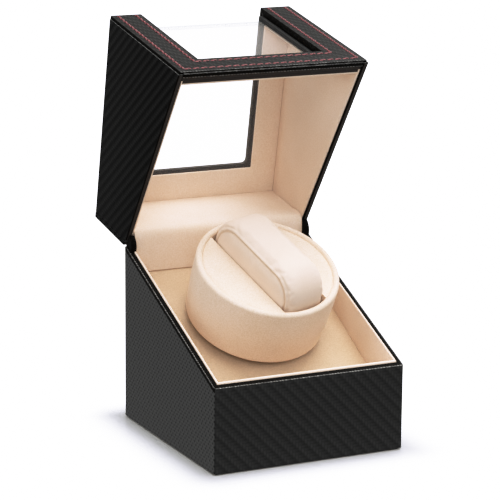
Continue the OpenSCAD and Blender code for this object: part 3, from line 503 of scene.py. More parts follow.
def velvet(name, light, deep, tuft=0.9 * MM, mottle=1.1, relief=0.06 * MM, sheen=0.2, seam=False):
    """Short velvet: a fine even pile of tufts, with soft patches where it lies another way. seam
    darkens it along the sewn seams."""
    shader = Shader(name)
    point = shader.place()
    pile = shader.noise(point, 1 / tuft, 4.0, 0.6)
    patches = shader.noise(point, 42.0)
    lay = (pile - 0.5) * mottle + (patches - 0.5) * 0.35 + 0.6
    if seam:
        lay = lay * (1 - shader.add("ShaderNodeAttribute", out="Fac", attribute_name=SEAM) * 0.95)
    return shader.finish(Base_Color=shader.mix(lay, deep, light), Roughness=0.92, Specular_IOR_Level=0.12,
                         Sheen_Weight=sheen, Sheen_Roughness=0.45, Sheen_Tint=rgba(light),
                         Normal=shader.bump(pile, relief))


def plain(name, base, roughness, metallic=0.0, mottle=0.0, size=2 * MM):
    """A moulded, turned or raw surface, with a little unevenness in its shine."""
    shader = Shader(name)
    cloud = shader.noise(shader.place(), 1 / size, 3.0)
    tint = shader.mix(cloud.ramp(0.3, 0.7) * mottle, base, tinted(base, 0.55)) if mottle else rgba(base)
    return shader.finish(Base_Color=tint, Roughness=cloud * 0.12 + (roughness - 0.06), Metallic=metallic)


def clear_sheet(name, base, alpha):
    """Clear sheet with a faint veil of its colour. On the panes' faces the whitish veil is a painted reflection;
    on their cut edges it is the glass's green-grey.
    """
    shader = Shader(name)
    shader.material.surface_render_method = "BLENDED"
    return shader.finish(Base_Color=rgba(base), Alpha=alpha, Roughness=0.04, Specular_IOR_Level=0.5)


def floor_with_painted_shadow(name, base, fade):
    """A pale floor that fades out into the backdrop round the box: a painted shadow, darkest at the box's foot and
    gone at fade from it.
    """
    shader = Shader(name)
    x, y = shader.split(shader.place())
    beside = (x.absolute() - HALF_WIDTH).largest(0.0)
    beyond = (y.absolute() - BACK_Y).largest(0.0)
    away = (beside.power(2.0) + beyond.power(2.0)).power(0.5)
    # painted shadow: fully shown at the box's footprint, faded out at fade from it
    return shader.finish(Base_Color=rgba(base), Roughness=0.25, Specular_IOR_Level=0.6,
                         Alpha=(1 - away.ramp(0.0, fade)).power(1.5))


def waves(u, v):
    """Even waves, 0 to 1, one to each unit of u + v."""
    return ((u + v) * (2 * math.pi)).sine() * 0.5 + 0.5


def sewing_thread(name, base):
    """Two-ply thread: slanting plies along each stitch, painted lighter on each ply as a highlight and darker
    between them as shade.
    """
    shader = Shader(name)
    u, v = shader.map(WEAVE)
    ply = waves(u * 2.0, v * 3.0)
    # painted highlight on each ply, painted shade between the plies
    pale = tuple(c * 1.7 + 0.05 for c in base)
    return shader.finish(Base_Color=shader.mix(ply, tinted(base, 0.5), pale), Roughness=0.5,
                         Normal=shader.bump(ply, 0.08 * MM))


def ribbed_rubber(name, groove, rib_highlight, pitch):
    """Rubber with fine slanting ribs, painted lighter on the ribs as a highlight and darker between them as shade.
    """
    shader = Shader(name)
    u, v = (c * (1 / pitch) for c in shader.map(WEAVE))
    rib = waves(u, v)
    return shader.finish(Base_Color=shader.mix(rib, groove, rib_highlight), Roughness=0.6, Specular_IOR_Level=0.15,
                         Normal=shader.bump(rib, 0.12 * MM))


# ---------------------------------------------------------------- modelling helpers

def nothing_selected():
    """Leaves edit mode and deselects everything."""
    if bpy.context.mode != "OBJECT":
        bpy.ops.object.mode_set(mode="OBJECT")
    bpy.ops.object.select_all(action="DESELECT")


def activate(piece):
    """Selects one piece and makes it active."""
    nothing_selected()
    piece.select_set(True)
    bpy.context.view_layer.objects.active = piece
    return piece


def edit(piece, kind, select="DESELECT"):
    """Opens a piece in edit mode. kind is VERT, EDGE or FACE, and select SELECT or DESELECT."""
    activate(piece)
    bpy.ops.object.mode_set(mode="EDIT")
    bpy.ops.mesh.select_mode(type=kind)
    bpy.ops.mesh.select_all(action=select)


def leave_edit():
    bpy.ops.object.mode_set(mode="OBJECT")


def close_up(threshold):
    """Merges a shell's doubles and turns its faces outwards, and leaves edit mode."""
    bpy.ops.mesh.select_all(action="SELECT")
    bpy.ops.mesh.remove_doubles(threshold=threshold)
    bpy.ops.mesh.normals_make_consistent(inside=False)
    leave_edit()


def named(piece, name):
    """Gives a piece and its mesh one name."""
    piece.name = name
    piece.data.name = name
    return piece


def new_piece(name, mesh):
    """Puts a mesh into the scene as a piece."""
    piece = bpy.data.objects.new(name, mesh)
    bpy.context.scene.collection.objects.link(piece)
    return named(piece, name)


def grid(name, columns, rows):
    """A flat grid from -1 to 1 both ways, to be shaped point by point."""
    nothing_selected()
    bpy.ops.mesh.primitive_grid_add(x_subdivisions=columns, y_subdivisions=rows, size=2.0)
    return named(bpy.context.object, name)


def ring(name, points):
    """A closed ring of edges through some points."""
    nothing_selected()
    bpy.ops.mesh.primitive_circle_add(vertices=len(points), radius=0.01, fill_type="NOTHING")
    piece = named(bpy.context.object, name)
    for vertex, point in zip(piece.data.vertices, points):
        vertex.co = point
    return piece


def arc(centre, radius, start, end, steps):
    """Points round a centre, from one angle to another in degrees."""
    for i in range(steps + 1):
        turn = math.radians(start + (end - start) * i / steps)
        yield centre[0] + radius * math.cos(turn), centre[1] + radius * math.sin(turn)


def curve_point(a, b, c, d, along):
    """A point on the cubic curve from a to d that b and c pull. along is 0 at a and 1 at d."""
    rest = 1 - along
    return a * rest ** 3 + b * (3 * along * rest ** 2) + c * (3 * along ** 2 * rest) + d * along ** 3


def into_place(piece, matrix):
    """Moves the mesh, so that the object itself stays at the origin."""
    piece.data.transform(matrix @ piece.matrix_world)
    piece.matrix_world = UPRIGHT
    return piece


def copy_of(node, name):
    """A clean copy of a CAD node: doubles merged and flat faces joined."""
    piece = new_piece(name, frame["nodes"][node].data.copy())
    piece.data.materials.clear()
    edit(piece, "VERT", "SELECT")
    bpy.ops.mesh.remove_doubles(threshold=0.004 * MM)
    bpy.ops.mesh.dissolve_limited(angle_limit=math.radians(0.6))
    leave_edit()
    return piece


def modifier(piece, kind, **values):
    """Adds a modifier, sets it and applies it."""
    activate(piece)
    added = piece.modifiers.new(kind.title(), kind)
    for key, value in values.items():
        setattr(added, key, value)
    bpy.ops.object.modifier_apply(modifier=added.name)
    return piece


def smooth(piece, degrees=40):
    """Shades a piece smooth, but for edges sharper than an angle."""
    activate(piece)
    bpy.ops.object.shade_smooth_by_angle(angle=math.radians(degrees))
    return piece


def round_edges(piece, width, segments=3, degrees=40, pick=None, to_closed=UPRIGHT):
    """Rounds the sharp edges of a piece. pick(middle, direction) may choose among them."""
    edit(piece, "EDGE")
    mesh = bmesh.from_edit_mesh(piece.data)
    for edge in mesh.edges:
        if len(edge.link_faces) != 2 or edge.calc_face_angle(0.0) < math.radians(degrees):
            continue
        a, b = (to_closed @ v.co for v in edge.verts)
        if pick is None or pick((a + b) / 2, (b - a).normalized()):
            edge.select_set(True)
    bmesh.update_edit_mesh(piece.data)
    if any(edge.select for edge in mesh.edges):
        bpy.ops.mesh.bevel(offset=width, segments=segments, profile=0.5, affect="EDGES",
                           clamp_overlap=True, miter_outer="ARC")
    leave_edit()
    return piece


def weave_map(piece, to_closed=UPRIGHT):
    """Lays a UV map in metres over a piece: u to the right and v up, as each face is seen from
    outside."""
    mesh = piece.data
    layer = mesh.uv_layers.new(name=WEAVE)
    turn = to_closed.to_3x3()
    places = [to_closed @ v.co for v in mesh.vertices]
    for face in mesh.polygons:
        normal = turn @ face.normal
        facing = max(range(3), key=lambda axis: abs(normal[axis]))
        way = math.copysign(1.0, normal[facing])
        for loop in face.loop_indices:
            x, y, z = places[mesh.loops[loop].vertex_index]
            layer.data[loop].uv = ((y * way, z), (-x * way, z), (x, y * way))[facing]
    return piece


def material_by(piece, kinds, choose, to_closed=UPRIGHT):
    """Gives each face the slot of the kind that choose(middle, normal) names."""
    turn = to_closed.to_3x3()
    for face in piece.data.polygons:
        face.material_index = kinds.index(choose(to_closed @ face.center, turn @ face.normal))


def finish_piece(piece, materials, body, slot, *nodes):
    """Gives a piece its materials and its body, and hides the nodes that it stands for. slot is not used."""
    for material in materials:
        piece.data.materials.append(material)
    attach(piece, body)
    if nodes:
        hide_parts(*nodes)
    return piece


def cut(piece, point, normal):
    """Divides the faces of a piece along a plane."""
    edit(piece, "FACE", "SELECT")
    bpy.ops.mesh.bisect(plane_co=point, plane_no=normal)
    leave_edit()


def cut_lid(piece, y):
    """Divides the faces of a lid's piece along a plane that faces forward when the lid is closed."""
    cut(piece, LID_OPEN @ Vector((0, y, 0)), LID_OPEN.to_3x3() @ BACK)


def steepest(normal):
    """How nearly a normal lies along an axis: 1 for a face square to one."""
    return max(abs(part) for part in normal)


def is_flat(normal):
    """Whether a normal belongs to a flat face and not to a rounded edge."""
    return max(steepest(normal), abs(normal.dot(RIM_UP))) > 0.985


def repaint(node, material):
    """A CAD node that keeps its shape gets a better material."""
    data = frame["nodes"][node].data
    data.materials.clear()
    data.materials.append(material)


# ---------------------------------------------------------------- materials of this box

# How each kind of face shows its leather. side, front and lid are one leather painted at three levels, lighter or
# darker for how the light falls on each face, and their pattern shows more or less for the same reason
LEATHER_LOOKS = {
    "side": {"rib": 0.1, "fine": 0.2, "pits": 0.85, "specular": 0.15},
    "front": {"rib": 0.38, "rib_width": 0.42, "fine": 0.45, "specular": 0.08},
    "lid": {"rib": 0.9, "rib_width": 0.5, "fine": 0.6, "specular": 0.02},
    "lid_rim": {"rib": 0.0, "fine": 0.2, "roughness": 0.5, "specular": 0.05},
    "rim": {"rib": 0.0, "fine": 0.5, "roughness": 0.5, "specular": 0.03},
    "frame": {"rib": 0.5, "rib_width": 0.45, "fine": 0.8, "specular": 0.06},
}


# How the pile of each kind of piece differs from the common one
VELVET_LOOKS = {
    "lining": {},
    "deck": {},
    "drum": {"tuft": 0.8 * MM, "mottle": 1.4},
    "cushion": {"tuft": 0.7 * MM, "mottle": 0.5, "relief": 0.03 * MM, "sheen": 0.25, "seam": True},
}


def made(name, maker, *args, **kwargs):
    """A material is made once and found again by its name."""
    return bpy.data.materials.get(name) or maker(name, *args, **kwargs)


def leather(kind):
    """The leather of one kind of face."""
    sizes = bpy.context.scene.winder_leather
    base = tuple(getattr(sizes, kind + "_colour"))
    # painted highlight: the light bands along the edges
    if kind == "crease":
        return made("leather_crease", painted_highlight_leather, base, sizes)
    return made("leather_" + kind, embossed_leather, base, sizes, **LEATHER_LOOKS[kind])


def leathers(kinds):
    """The leathers of several kinds of face, in their order."""
    return [leather(kind) for kind in kinds]


def cream(kind):
    """The velvet of one kind of piece."""
    colours = bpy.context.scene.winder_velvet
    light, deep = (tuple(getattr(colours, kind + pile)) for pile in ("_light", "_deep"))
    return made("velvet_" + kind, velvet, light, deep, **VELVET_LOOKS[kind])


# ---------------------------------------------------------------- operators

class WINDER_OT_base(bpy.types.Operator):
    """Covers the base in embossed leather with a turned-in rim"""
    bl_idname = "winder.base"
    bl_label = "Base cover"

    def execute(self, context):
        sizes = context.scene.winder_leather
        cover = copy_of("base_leather", "base_cover")
        round_edges(cover, sizes.edge_round, pick=self.outer_edge)
        cut(cover, HINGE - RIM_UP * sizes.binding, RIM_UP)
        # cuts that bound the painted highlight along the rim's outer edge
        for side in (-1, 1):
            cut(cover, RIGHT * (side * (HALF_WIDTH - sizes.crease)), RIGHT)
        cut(cover, BACK * (FRONT_Y + sizes.crease), BACK)
        kinds = ("side", "front", "rim", "crease")
        material_by(cover, kinds, lambda place, normal: self.face_kind(place, normal, sizes))
        weave_map(cover)
        smooth(cover)
        finish_piece(cover, leathers(kinds), "base", "black_leather", "base_leather")
        return {"FINISHED"}

    @staticmethod
    def outer_edge(place, direction):
        """Whether an edge lies on the outside, but not round the underside."""
        edge = 1.6 * MM
        outside = abs(place.x) > HALF_WIDTH - edge or not FRONT_Y + edge < place.y < BACK_Y - edge
        return outside and place.z > FLOOR_LINE + 5 * MM

    @staticmethod
    def face_kind(place, normal, sizes):
        """The rim gets a painted highlight along its outer edge, and its binding goes on down the side faces."""
        sideways = abs(normal.x) > 0.7
        outer = abs(place.x) > HALF_WIDTH - sizes.crease or place.y < FRONT_Y + sizes.crease
        if outer and normal.z > 0.1 and normal.dot(RIM_UP) > 0.5:
            return "crease"
        if normal.z > 0.35 or sideways and (place - HINGE).dot(RIM_UP) > -sizes.binding:
            return "rim"
        # painted light: side faces take the lighter copy of the leather, front and back faces the darker one
        return "side" if sideways else "front"


class WINDER_OT_linings(bpy.types.Operator):
    """Lines the base and covers the deck with velvet"""
    bl_idname = "winder.linings"
    bl_label = "Base linings and deck"

    def execute(self, context):
        for node in ("lining_front", "lining_back", "lining_left", "lining_right"):
            card = copy_of(node, node + "_velvet")
            round_edges(card, context.scene.winder_velvet.edge_round)
            smooth(card)
            finish_piece(card, [cream("lining")], "base", "cream_velvet", node)
        # painted shade: the deck takes the darker, browner copy of the velvet
        deck = copy_of("deck_velvet", "deck_cover")
        finish_piece(deck, [cream("deck")], "base", "cream_velvet", "deck_velvet")
        return {"FINISHED"}


class WINDER_OT_lid(bpy.types.Operator):
    """Covers the lid's panels and window frames in leather, and lines them"""
    bl_idname = "winder.lid"
    bl_label = "Lid"

    def execute(self, context):
        sizes = context.scene.winder_leather
        for node in ("lid_left_panel", "lid_right_panel", "lid_back_panel"):
            self.panel(node, sizes)
        for node, facing in (("front_frame", -BACK), ("top_frame", UP)):
            self.window_frame(node, facing, sizes)
        for side in ("left", "right", "back", "front", "top"):
            self.lining(side, context.scene.winder_velvet)
        return {"FINISHED"}

    def panel(self, node, sizes):
        """A side or back panel, with its edges rounded."""
        cover = copy_of(node, node + "_cover")
        round_edges(cover, sizes.edge_round)
        # painted shade: the panels' lid leather is a darker copy of the base's leather
        kinds = ("lid", "lid_rim", "crease", "rim")
        material_by(cover, kinds, self.panel_kind, LID_CLOSED)
        weave_map(cover, LID_CLOSED)
        smooth(cover)
        finish_piece(cover, leathers(kinds), "lid", "black_leather", node)

    @staticmethod
    def panel_kind(place, normal):
        """The rim has a black edge, and the other edges get a painted highlight."""
        along_rim = Vector((0, RIM_UP.z, -RIM_UP.y))
        if is_flat(normal):
            return "lid_rim" if normal.dot(RIM_UP) < -0.9 else "lid"
        if abs(normal.dot(along_rim)) < 0.1:
            return "rim"
        return "crease" if steepest(normal) < 0.9 else "lid"

    def window_frame(self, node, facing, sizes):
        """A frame whose leather turns in over the lid's rim. facing is its outer face's direction."""
        cover = copy_of(node, node + "_cover")
        round_edges(cover, sizes.frame_round, segments=4)
        # cuts that bound the turned-in leather and its painted highlight line
        for depth in (sizes.turned_in, sizes.turned_in + sizes.fold_highlight):
            cut_lid(cover, FRONT_Y + depth)
        weave_map(cover, LID_CLOSED)
        kinds = ("frame", "rim", "lid_rim", "crease")
        material_by(cover, kinds, lambda place, normal: self.frame_kind(place, normal, facing, sizes),
                    LID_CLOSED)
        smooth(cover)
        finish_piece(cover, leathers(kinds), "lid", "frame_leather", node)

    @staticmethod
    def frame_kind(place, normal, facing, sizes):
        """Below, the leather is turned in between two painted highlight lines along its folds. The inner and outer
        edges are black.
        """
        if normal.dot(facing) > 0.85:
            return "frame"
        if normal.z > -0.5:
            return "rim"
        depth = place.y - FRONT_Y
        if depth < sizes.turned_in:
            return "crease" if normal.y < -0.35 else "rim"
        return "crease" if depth < sizes.turned_in + sizes.fold_highlight else "lid_rim"

    def lining(self, side, sizes):
        """The velvet card on the inside of one of the lid's sides."""
        node = "lid_lining_" + side
        card = copy_of(node, node + "_velvet")
        if side == "back":
            self.soften_hinge_edge(card, sizes)
        round_edges(card, sizes.edge_round)
        if side == "front":
            self.bind_edge(card, sizes)
        smooth(card)
        finish_piece(card, [cream("lining"), leather("lid_rim")], "lid", "cream_velvet", node)

    @staticmethod
    def soften_hinge_edge(card, sizes):
        """The padding turns over at the hinge in a wide curve."""
        low, high = corners(front_face("lid_lining_back", LID_OPEN))
        near = 0.1 * MM
        round_edges(card, sizes.hinge_round, segments=6, to_closed=LID_CLOSED,
                    pick=lambda place, direction: place.y < low.y + near and place.z < low.z + near
                    and abs(direction.x) > 0.9)

    @staticmethod
    def bind_edge(card, sizes):
        """The frame's leather turns in over the outer part of the lining's lower edge."""
        low, high = closed_box("lid_lining_front")
        bound = low.y + sizes.bound
        cut_lid(card, bound)
        material_by(card, ("velvet", "leather"), lambda place, normal: "leather" if place.y < bound
                    and place.z < low.z + 4 * MM and normal.z < -0.2 else "velvet", LID_CLOSED)


class WINDER_OT_window(bpy.types.Operator):
    """Glazes the lid: two panes and their rubber gasket"""
    bl_idname = "winder.window"
    bl_label = "Window"

    def execute(self, context):
        sizes = context.scene.winder_window
        # painted reflection: the whitish veil on the panes' faces
        clear = made("clear_pane", clear_sheet, tuple(sizes.pane_reflection_colour), sizes.pane_reflection_veil)
        edge = made("pane_edge", clear_sheet, tuple(sizes.edge_colour), sizes.edge_alpha)
        for node, facing in (("front_pane", BACK), ("top_pane", UP)):
            pane = copy_of(node, node + "_sheet")
            round_edges(pane, sizes.pane_round, segments=1)
            material_by(pane, ("clear", "edge"), lambda place, normal:
                        "clear" if abs(normal.dot(facing)) > 0.9 else "edge", LID_CLOSED)
            finish_piece(pane, [clear, edge], "lid", "window_glass", node)
        gasket = copy_of("window_gasket", "window_seal")
        round_edges(gasket, sizes.gasket_round, segments=2)
        weave_map(gasket, LID_CLOSED)
        smooth(gasket)
        rubber = made("gasket_rubber", ribbed_rubber, tuple(sizes.groove_shade_colour), tuple(sizes.rib_highlight_colour),
                      sizes.rib_pitch)
        finish_piece(gasket, [rubber], "lid", "gasket_rubber", "window_gasket")
        return {"FINISHED"}


class WINDER_OT_drum(bpy.types.Operator):
    """Spins the drum's padded wall and shapes its side pads"""
    bl_idname = "winder.drum"
    bl_label = "Drum"

    def execute(self, context):
        sizes = context.scene.winder_drum
        self.wall(sizes)
        for side, node in ((-1, "drum_left_pad"), (1, "drum_right_pad")):
            self.side_pad(sizes, side, node)
        return {"FINISHED"}

    @staticmethod
    def profile(sizes):
        """The wall's outline as radius and height: up the outside, over the rim and round the foot."""
        half, foot = sizes.wall / 2, sizes.foot_round
        low, high = sizes.bottom + foot, sizes.top - half
        lean = (sizes.top_radius - sizes.bottom_radius) / (sizes.top - sizes.bottom)
        steps = 14
        side = []
        for i in range(steps + 1):
            height = low + (high - low) * i / steps
            fuller = sizes.swell * math.sin(math.pi * i / steps)
            side.append((sizes.bottom_radius + lean * (height - sizes.bottom) + fuller, height))
        rim = list(arc((side[-1][0] - half, high), half, 0, 180, 12))
        inner_foot = (sizes.bottom_radius - sizes.wall, sizes.bottom)
        outer_foot = list(arc((side[0][0] - foot, low), foot, -90, 0, 6))
        return side + rim[1:] + [inner_foot] + outer_foot[:-1]

    def wall(self, sizes):
        """The profile, spun round the axis."""
        wall = ring("drum_wall_cover", [(radius, 0.0, height) for radius, height in self.profile(sizes)])
        edit(wall, "VERT", "SELECT")
        bpy.ops.mesh.spin(steps=144, angle=2 * math.pi, center=(0, 0, 0), axis=(0, 0, 1))
        close_up(0.01 * MM)
        into_place(wall, DECK)
        smooth(wall, 60)
        finish_piece(wall, [cream("drum")], "drum", "cream_velvet", "drum_wall")

    def side_pad(self, sizes, side, node):
        """A crescent between the slot and the wall, drawn in at the rim."""
        slot_side = sizes.slot_side
        in_wall = 0.18  # the share of the wall's thickness that the pad reaches into
        radius = sizes.top_radius - sizes.wall * (1 - in_wall)
        half_length = math.sqrt(radius ** 2 - slot_side ** 2)
        pad = grid(node + "_cover", 22, 80)
        for vertex in pad.data.vertices:
            outward = 1 - ((1 - vertex.co.x) / 2) ** 1.5
            y = half_length * math.sin(vertex.co.y * math.pi / 2)
            reach = math.sqrt(max(radius ** 2 - y ** 2, slot_side ** 2)) - slot_side
            from_rim = reach * (1 - outward)
            dip = sizes.crease * math.exp(-(from_rim / sizes.crease_width) ** 2)
            bulge = sizes.pillow * math.sin(math.pi * outward) * reach / (radius - slot_side)
            vertex.co = (side * (slot_side + reach * outward), y, sizes.pad_top + bulge - dip)
        edit(pad, "FACE", "SELECT")
        down = (0, 0, sizes.floor - sizes.pad_top)
        bpy.ops.mesh.extrude_region_move(TRANSFORM_OT_translate={"value": down})
        bpy.ops.transform.resize(value=(1, 1, 0), center_override=(0, 0, sizes.floor))
        close_up(0.02 * MM)
        round_edges(pad, sizes.pad_round, segments=5, degrees=50, pick=lambda place, direction:
                    place.z > sizes.top - 8 * MM and abs(place.x) < slot_side + 0.1 * MM)
        into_place(pad, SLOT)
        smooth(pad, 50)
        finish_piece(pad, [cream("drum")], "drum", "cream_velvet", node)


class WINDER_OT_cushion(bpy.types.Operator):
    """Sews the watch cushion and blows it up as cloth"""
    bl_idname = "winder.cushion"
    bl_label = "Watch cushion"

    def execute(self, context):
        sizes = context.scene.winder_cushion
        cushion = self.shape(sizes)
        self.swell(cushion, sizes)
        modifier(cushion, "SUBSURF", levels=2, render_levels=2)
        self.sew(cushion, sizes)
        into_place(cushion, SLOT @ Matrix.Translation((0, 0, sizes.foot)))
        smooth(cushion, 80)
        finish_piece(cushion, [cream("cushion")], "cushion", "cushion_velvet", "cushion")
        return {"FINISHED"}

    @staticmethod
    def outline(sizes, x, inset):
        """The side view's outline at x, moved in by inset: a rectangle with round corners."""
        radius = max(sizes.corner - inset, 2 * MM)
        side, top = sizes.along / 2 - inset - radius, sizes.height - inset - radius
        centres = ((side, top), (-side, top), (-side, inset + radius), (side, inset + radius))
        return [(x, y, z) for corner, centre in enumerate(centres)
                for y, z in arc(centre, radius, 90 * corner, 90 * corner + 90, 17)]

    def shape(self, sizes):
        """Rings from the middle of one side panel over the crown to the other, bridged and remeshed."""
        half = sizes.width / 2
        outer = sizes.seam_inset - sizes.piping
        # how far each ring lies inside the side panel's face, and inside the side view's outline
        sections = [(0.2 * MM, sizes.seam_inset + 8 * MM), (0.9 * MM, sizes.seam_inset), (1.7 * MM, outer),
                    (2.7 * MM, outer * 0.5), (4.5 * MM, outer * 0.2), (half * 0.5, 0.1 * MM), (half, 0.0)]
        loops = [(depth - half, inset) for depth, inset in sections]
        loops += [(-x, inset) for x, inset in reversed(loops[:-1])]
        rings = [ring("cushion_ring", self.outline(sizes, x, inset)) for x, inset in loops]
        for piece in rings:
            piece.select_set(True)
        bpy.context.view_layer.objects.active = rings[0]
        bpy.ops.object.join()
        cushion = named(bpy.context.object, "cushion_cover")
        edit(cushion, "EDGE", "SELECT")
        bpy.ops.mesh.bridge_edge_loops()
        bpy.ops.mesh.select_all(action="DESELECT")
        bpy.ops.mesh.select_non_manifold()
        bpy.ops.mesh.edge_face_add()
        close_up(0.01 * MM)
        return modifier(cushion, "REMESH", mode="VOXEL", voxel_size=sizes.voxel, adaptivity=0.0)

    @staticmethod
    def seam_distance(sizes, points):
        """How far each point lies outside the seam's line in the side view, and how far out to the
        side past the depth that the seams reach."""
        radius = max(sizes.corner - sizes.seam_inset, 2 * MM)
        half = np.array([sizes.along / 2, sizes.height / 2]) - sizes.seam_inset - radius
        middle = np.array([0.0, sizes.height / 2])
        past = np.abs(points[:, 1:] - middle) - half
        flat = np.linalg.norm(np.maximum(past, 0), axis=1) + np.minimum(past.max(axis=1), 0) - radius
        depth = 3.2 * MM
        side = np.abs(points[:, 0]) - (sizes.width / 2 - depth)
        return flat, side

    def swell(self, cushion, sizes):
        """Cloth under pressure, with the seams held, at ten times the size, where cloth behaves."""
        scene = bpy.context.scene
        start = np.array([v.co for v in cushion.data.vertices])
        flat, side = self.seam_distance(sizes, start)
        near = 0.9 * MM
        held = cushion.vertex_groups.new(name="seams")
        held.add([int(i) for i in np.flatnonzero((np.abs(flat) < near) & (side > 0))], 1.0, "ADD")
        grow = 10.0
        cushion.data.transform(Matrix.Scale(grow, 4))
        cloth = activate(cushion).modifiers.new("Cloth", "CLOTH")
        cloth.settings.effector_weights.gravity = 0
        cloth.settings.use_pressure = True
        cloth.settings.uniform_pressure_force = 4
        cloth.settings.vertex_group_mass = "seams"
        cloth.settings.shrink_min = -0.035
        cloth.settings.quality = 6
        cloth.point_cache.frame_start = 1
        cloth.point_cache.frame_end = sizes.steps
        for step in range(1, sizes.steps + 1):
            scene.frame_set(step)
        bpy.ops.object.modifier_apply(modifier=cloth.name)
        scene.frame_set(1)
        cushion.data.transform(Matrix.Scale(1 / grow, 4))
        self.keep_in_slot(cushion, sizes, start)

    @staticmethod
    def keep_in_slot(cushion, sizes, start):
        """Limits how far each point has moved from its start, and the width to the slot's."""
        tiny = 1e-9
        end = np.array([v.co for v in cushion.data.vertices])
        move = end - start
        size = np.linalg.norm(move, axis=1, keepdims=True)
        end = start + move * np.minimum(1.0, sizes.swell / np.maximum(size, tiny))
        end[:, 0] *= min(1.0, sizes.width / (np.ptp(end[:, 0]) + tiny))
        cushion.data.vertices.foreach_set("co", end.ravel())
        cushion.data.update()

    def sew(self, cushion, sizes):
        """Draws the two seams round each side panel in, with the piping raised between them."""
        points = np.array([v.co for v in cushion.data.vertices])
        normals = np.array([v.normal for v in cushion.data.vertices])
        flat, side = self.seam_distance(sizes, points)
        fade, seam_width, piping_width = 1.2 * MM, 0.5 * MM, 0.9 * MM
        near = np.clip(side / fade, 0, 1)
        inner = np.exp(-(flat / seam_width) ** 2)
        outer = np.exp(-((flat - sizes.piping) / seam_width) ** 2)
        piping = np.exp(-((flat - sizes.piping / 2) / piping_width) ** 2)
        raised = sizes.piping_height * piping - sizes.seam_depth * inner - sizes.outer_depth * outer
        points += normals * (raised * near)[:, None]
        seam = cushion.data.attributes.new(SEAM, "FLOAT", "POINT")
        seam.data.foreach_set("value", (np.maximum(inner, outer * 0.8) * near).astype(np.float32))
        cushion.data.vertices.foreach_set("co", points.ravel())
        cushion.data.update()


class WINDER_OT_stitching(bpy.types.Operator):
    """Sews the red seams along the window frames"""
    bl_idname = "winder.stitching"
    bl_label = "Stitching"

    def execute(self, context):
        sizes = context.scene.winder_stitch
        inset = sizes.inset
        stitch = self.one_stitch(sizes)
        low, high = closed_box("front_frame")
        top_low, top_high = closed_box("top_frame")
        opening_low, opening_high = closed_box("window_gasket")
        outer, inner = high.x - inset, opening_high.x + inset
        front_y, top_z = low.y, top_high.z
        front_seams = [self.seam(lambda x, z: Vector((x, front_y, z)), half, top_z - sizes.corner_gap, end)
                       for half, end in ((outer, low.z + inset + sizes.hem), (inner, opening_low.z - inset))]
        top_seams = [self.seam(lambda x, y: Vector((x, y, top_z)), half, front_y + sizes.corner_gap, end)
                     for half, end in ((outer, top_high.y - inset), (inner, opening_high.y + inset))]
        self.sew(sizes, stitch, front_seams, -BACK, "front_frame_stitching")
        self.sew(sizes, stitch, top_seams, UP, "top_frame_stitching")
        bpy.data.objects.remove(stitch)
        return {"FINISHED"}

    @staticmethod
    def seam(place, half, start, end):
        """The corners of a U-shaped seam: from the start of one side to its end, across, and back."""
        return [place(-half, start), place(-half, end), place(half, end), place(half, start)]

    @staticmethod
    def one_stitch(sizes):
        """A stitch: a flat rod along X with rounded ends that dip into the leather."""
        nothing_selected()
        bpy.ops.mesh.primitive_cylinder_add(vertices=8, radius=sizes.thread / 2, depth=sizes.stitch,
                                            rotation=(0, math.pi / 2, 0))
        bpy.ops.object.transform_apply(location=True, rotation=True, scale=True)
        stitch = named(bpy.context.object, "one_stitch")
        edit(stitch, "FACE")
        mesh = bmesh.from_edit_mesh(stitch.data)
        for face in mesh.faces:
            face.select_set(abs(face.normal.x) > 0.9)
        bmesh.update_edit_mesh(stitch.data)
        bpy.ops.mesh.inset(thickness=sizes.thread * 0.3, depth=sizes.thread * 0.22)
        leave_edit()
        for along in (-0.3, 0.0, 0.3):
            cut(stitch, RIGHT * (along * sizes.stitch), RIGHT)
        for vertex in stitch.data.vertices:
            to_end = abs(vertex.co.x) / (sizes.stitch / 2)
            vertex.co.z = vertex.co.z * 0.55 - sizes.thread * 0.45 * to_end ** 3
        return stitch

    @staticmethod
    def sew(sizes, stitch, seams, out, name):
        """Copies the stitch along each seam, a little slanted, as one mesh."""
        shape = np.array([v.co for v in stitch.data.vertices])
        faces = [tuple(face.vertices) for face in stitch.data.polygons]
        points, polygons = [], []
        for seam in seams:
            for start, end in zip(seam, seam[1:]):
                run = end - start
                count = max(round(run.length / sizes.pitch), 1)
                slanted = Matrix.Rotation(sizes.slant, 3, out) @ run.normalized()
                basis = np.array([slanted, out.cross(slanted), out])
                for i in range(count):
                    middle = start + run * ((i + 0.5) / count) + out * (sizes.thread * 0.1)
                    polygons += [tuple(len(points) + corner for corner in face) for face in faces]
                    points += list(shape @ basis + np.array(middle))
        mesh = bpy.data.meshes.new(name)
        mesh.from_pydata([tuple(point) for point in points], [], polygons)
        stitching = new_piece(name, mesh)
        layer = mesh.uv_layers.new(name=WEAVE)
        for loop in mesh.loops:
            x, y, z = shape[loop.vertex_index % len(shape)]
            layer.data[loop.index].uv = (x / sizes.stitch + 0.5, math.atan2(y, z + sizes.thread) / math.pi)
        into_place(stitching, LID_OPEN)
        smooth(stitching, 70)
        thread = made("red_thread", sewing_thread, tuple(sizes.thread_colour))
        finish_piece(stitching, [thread], "lid", "frame_leather")


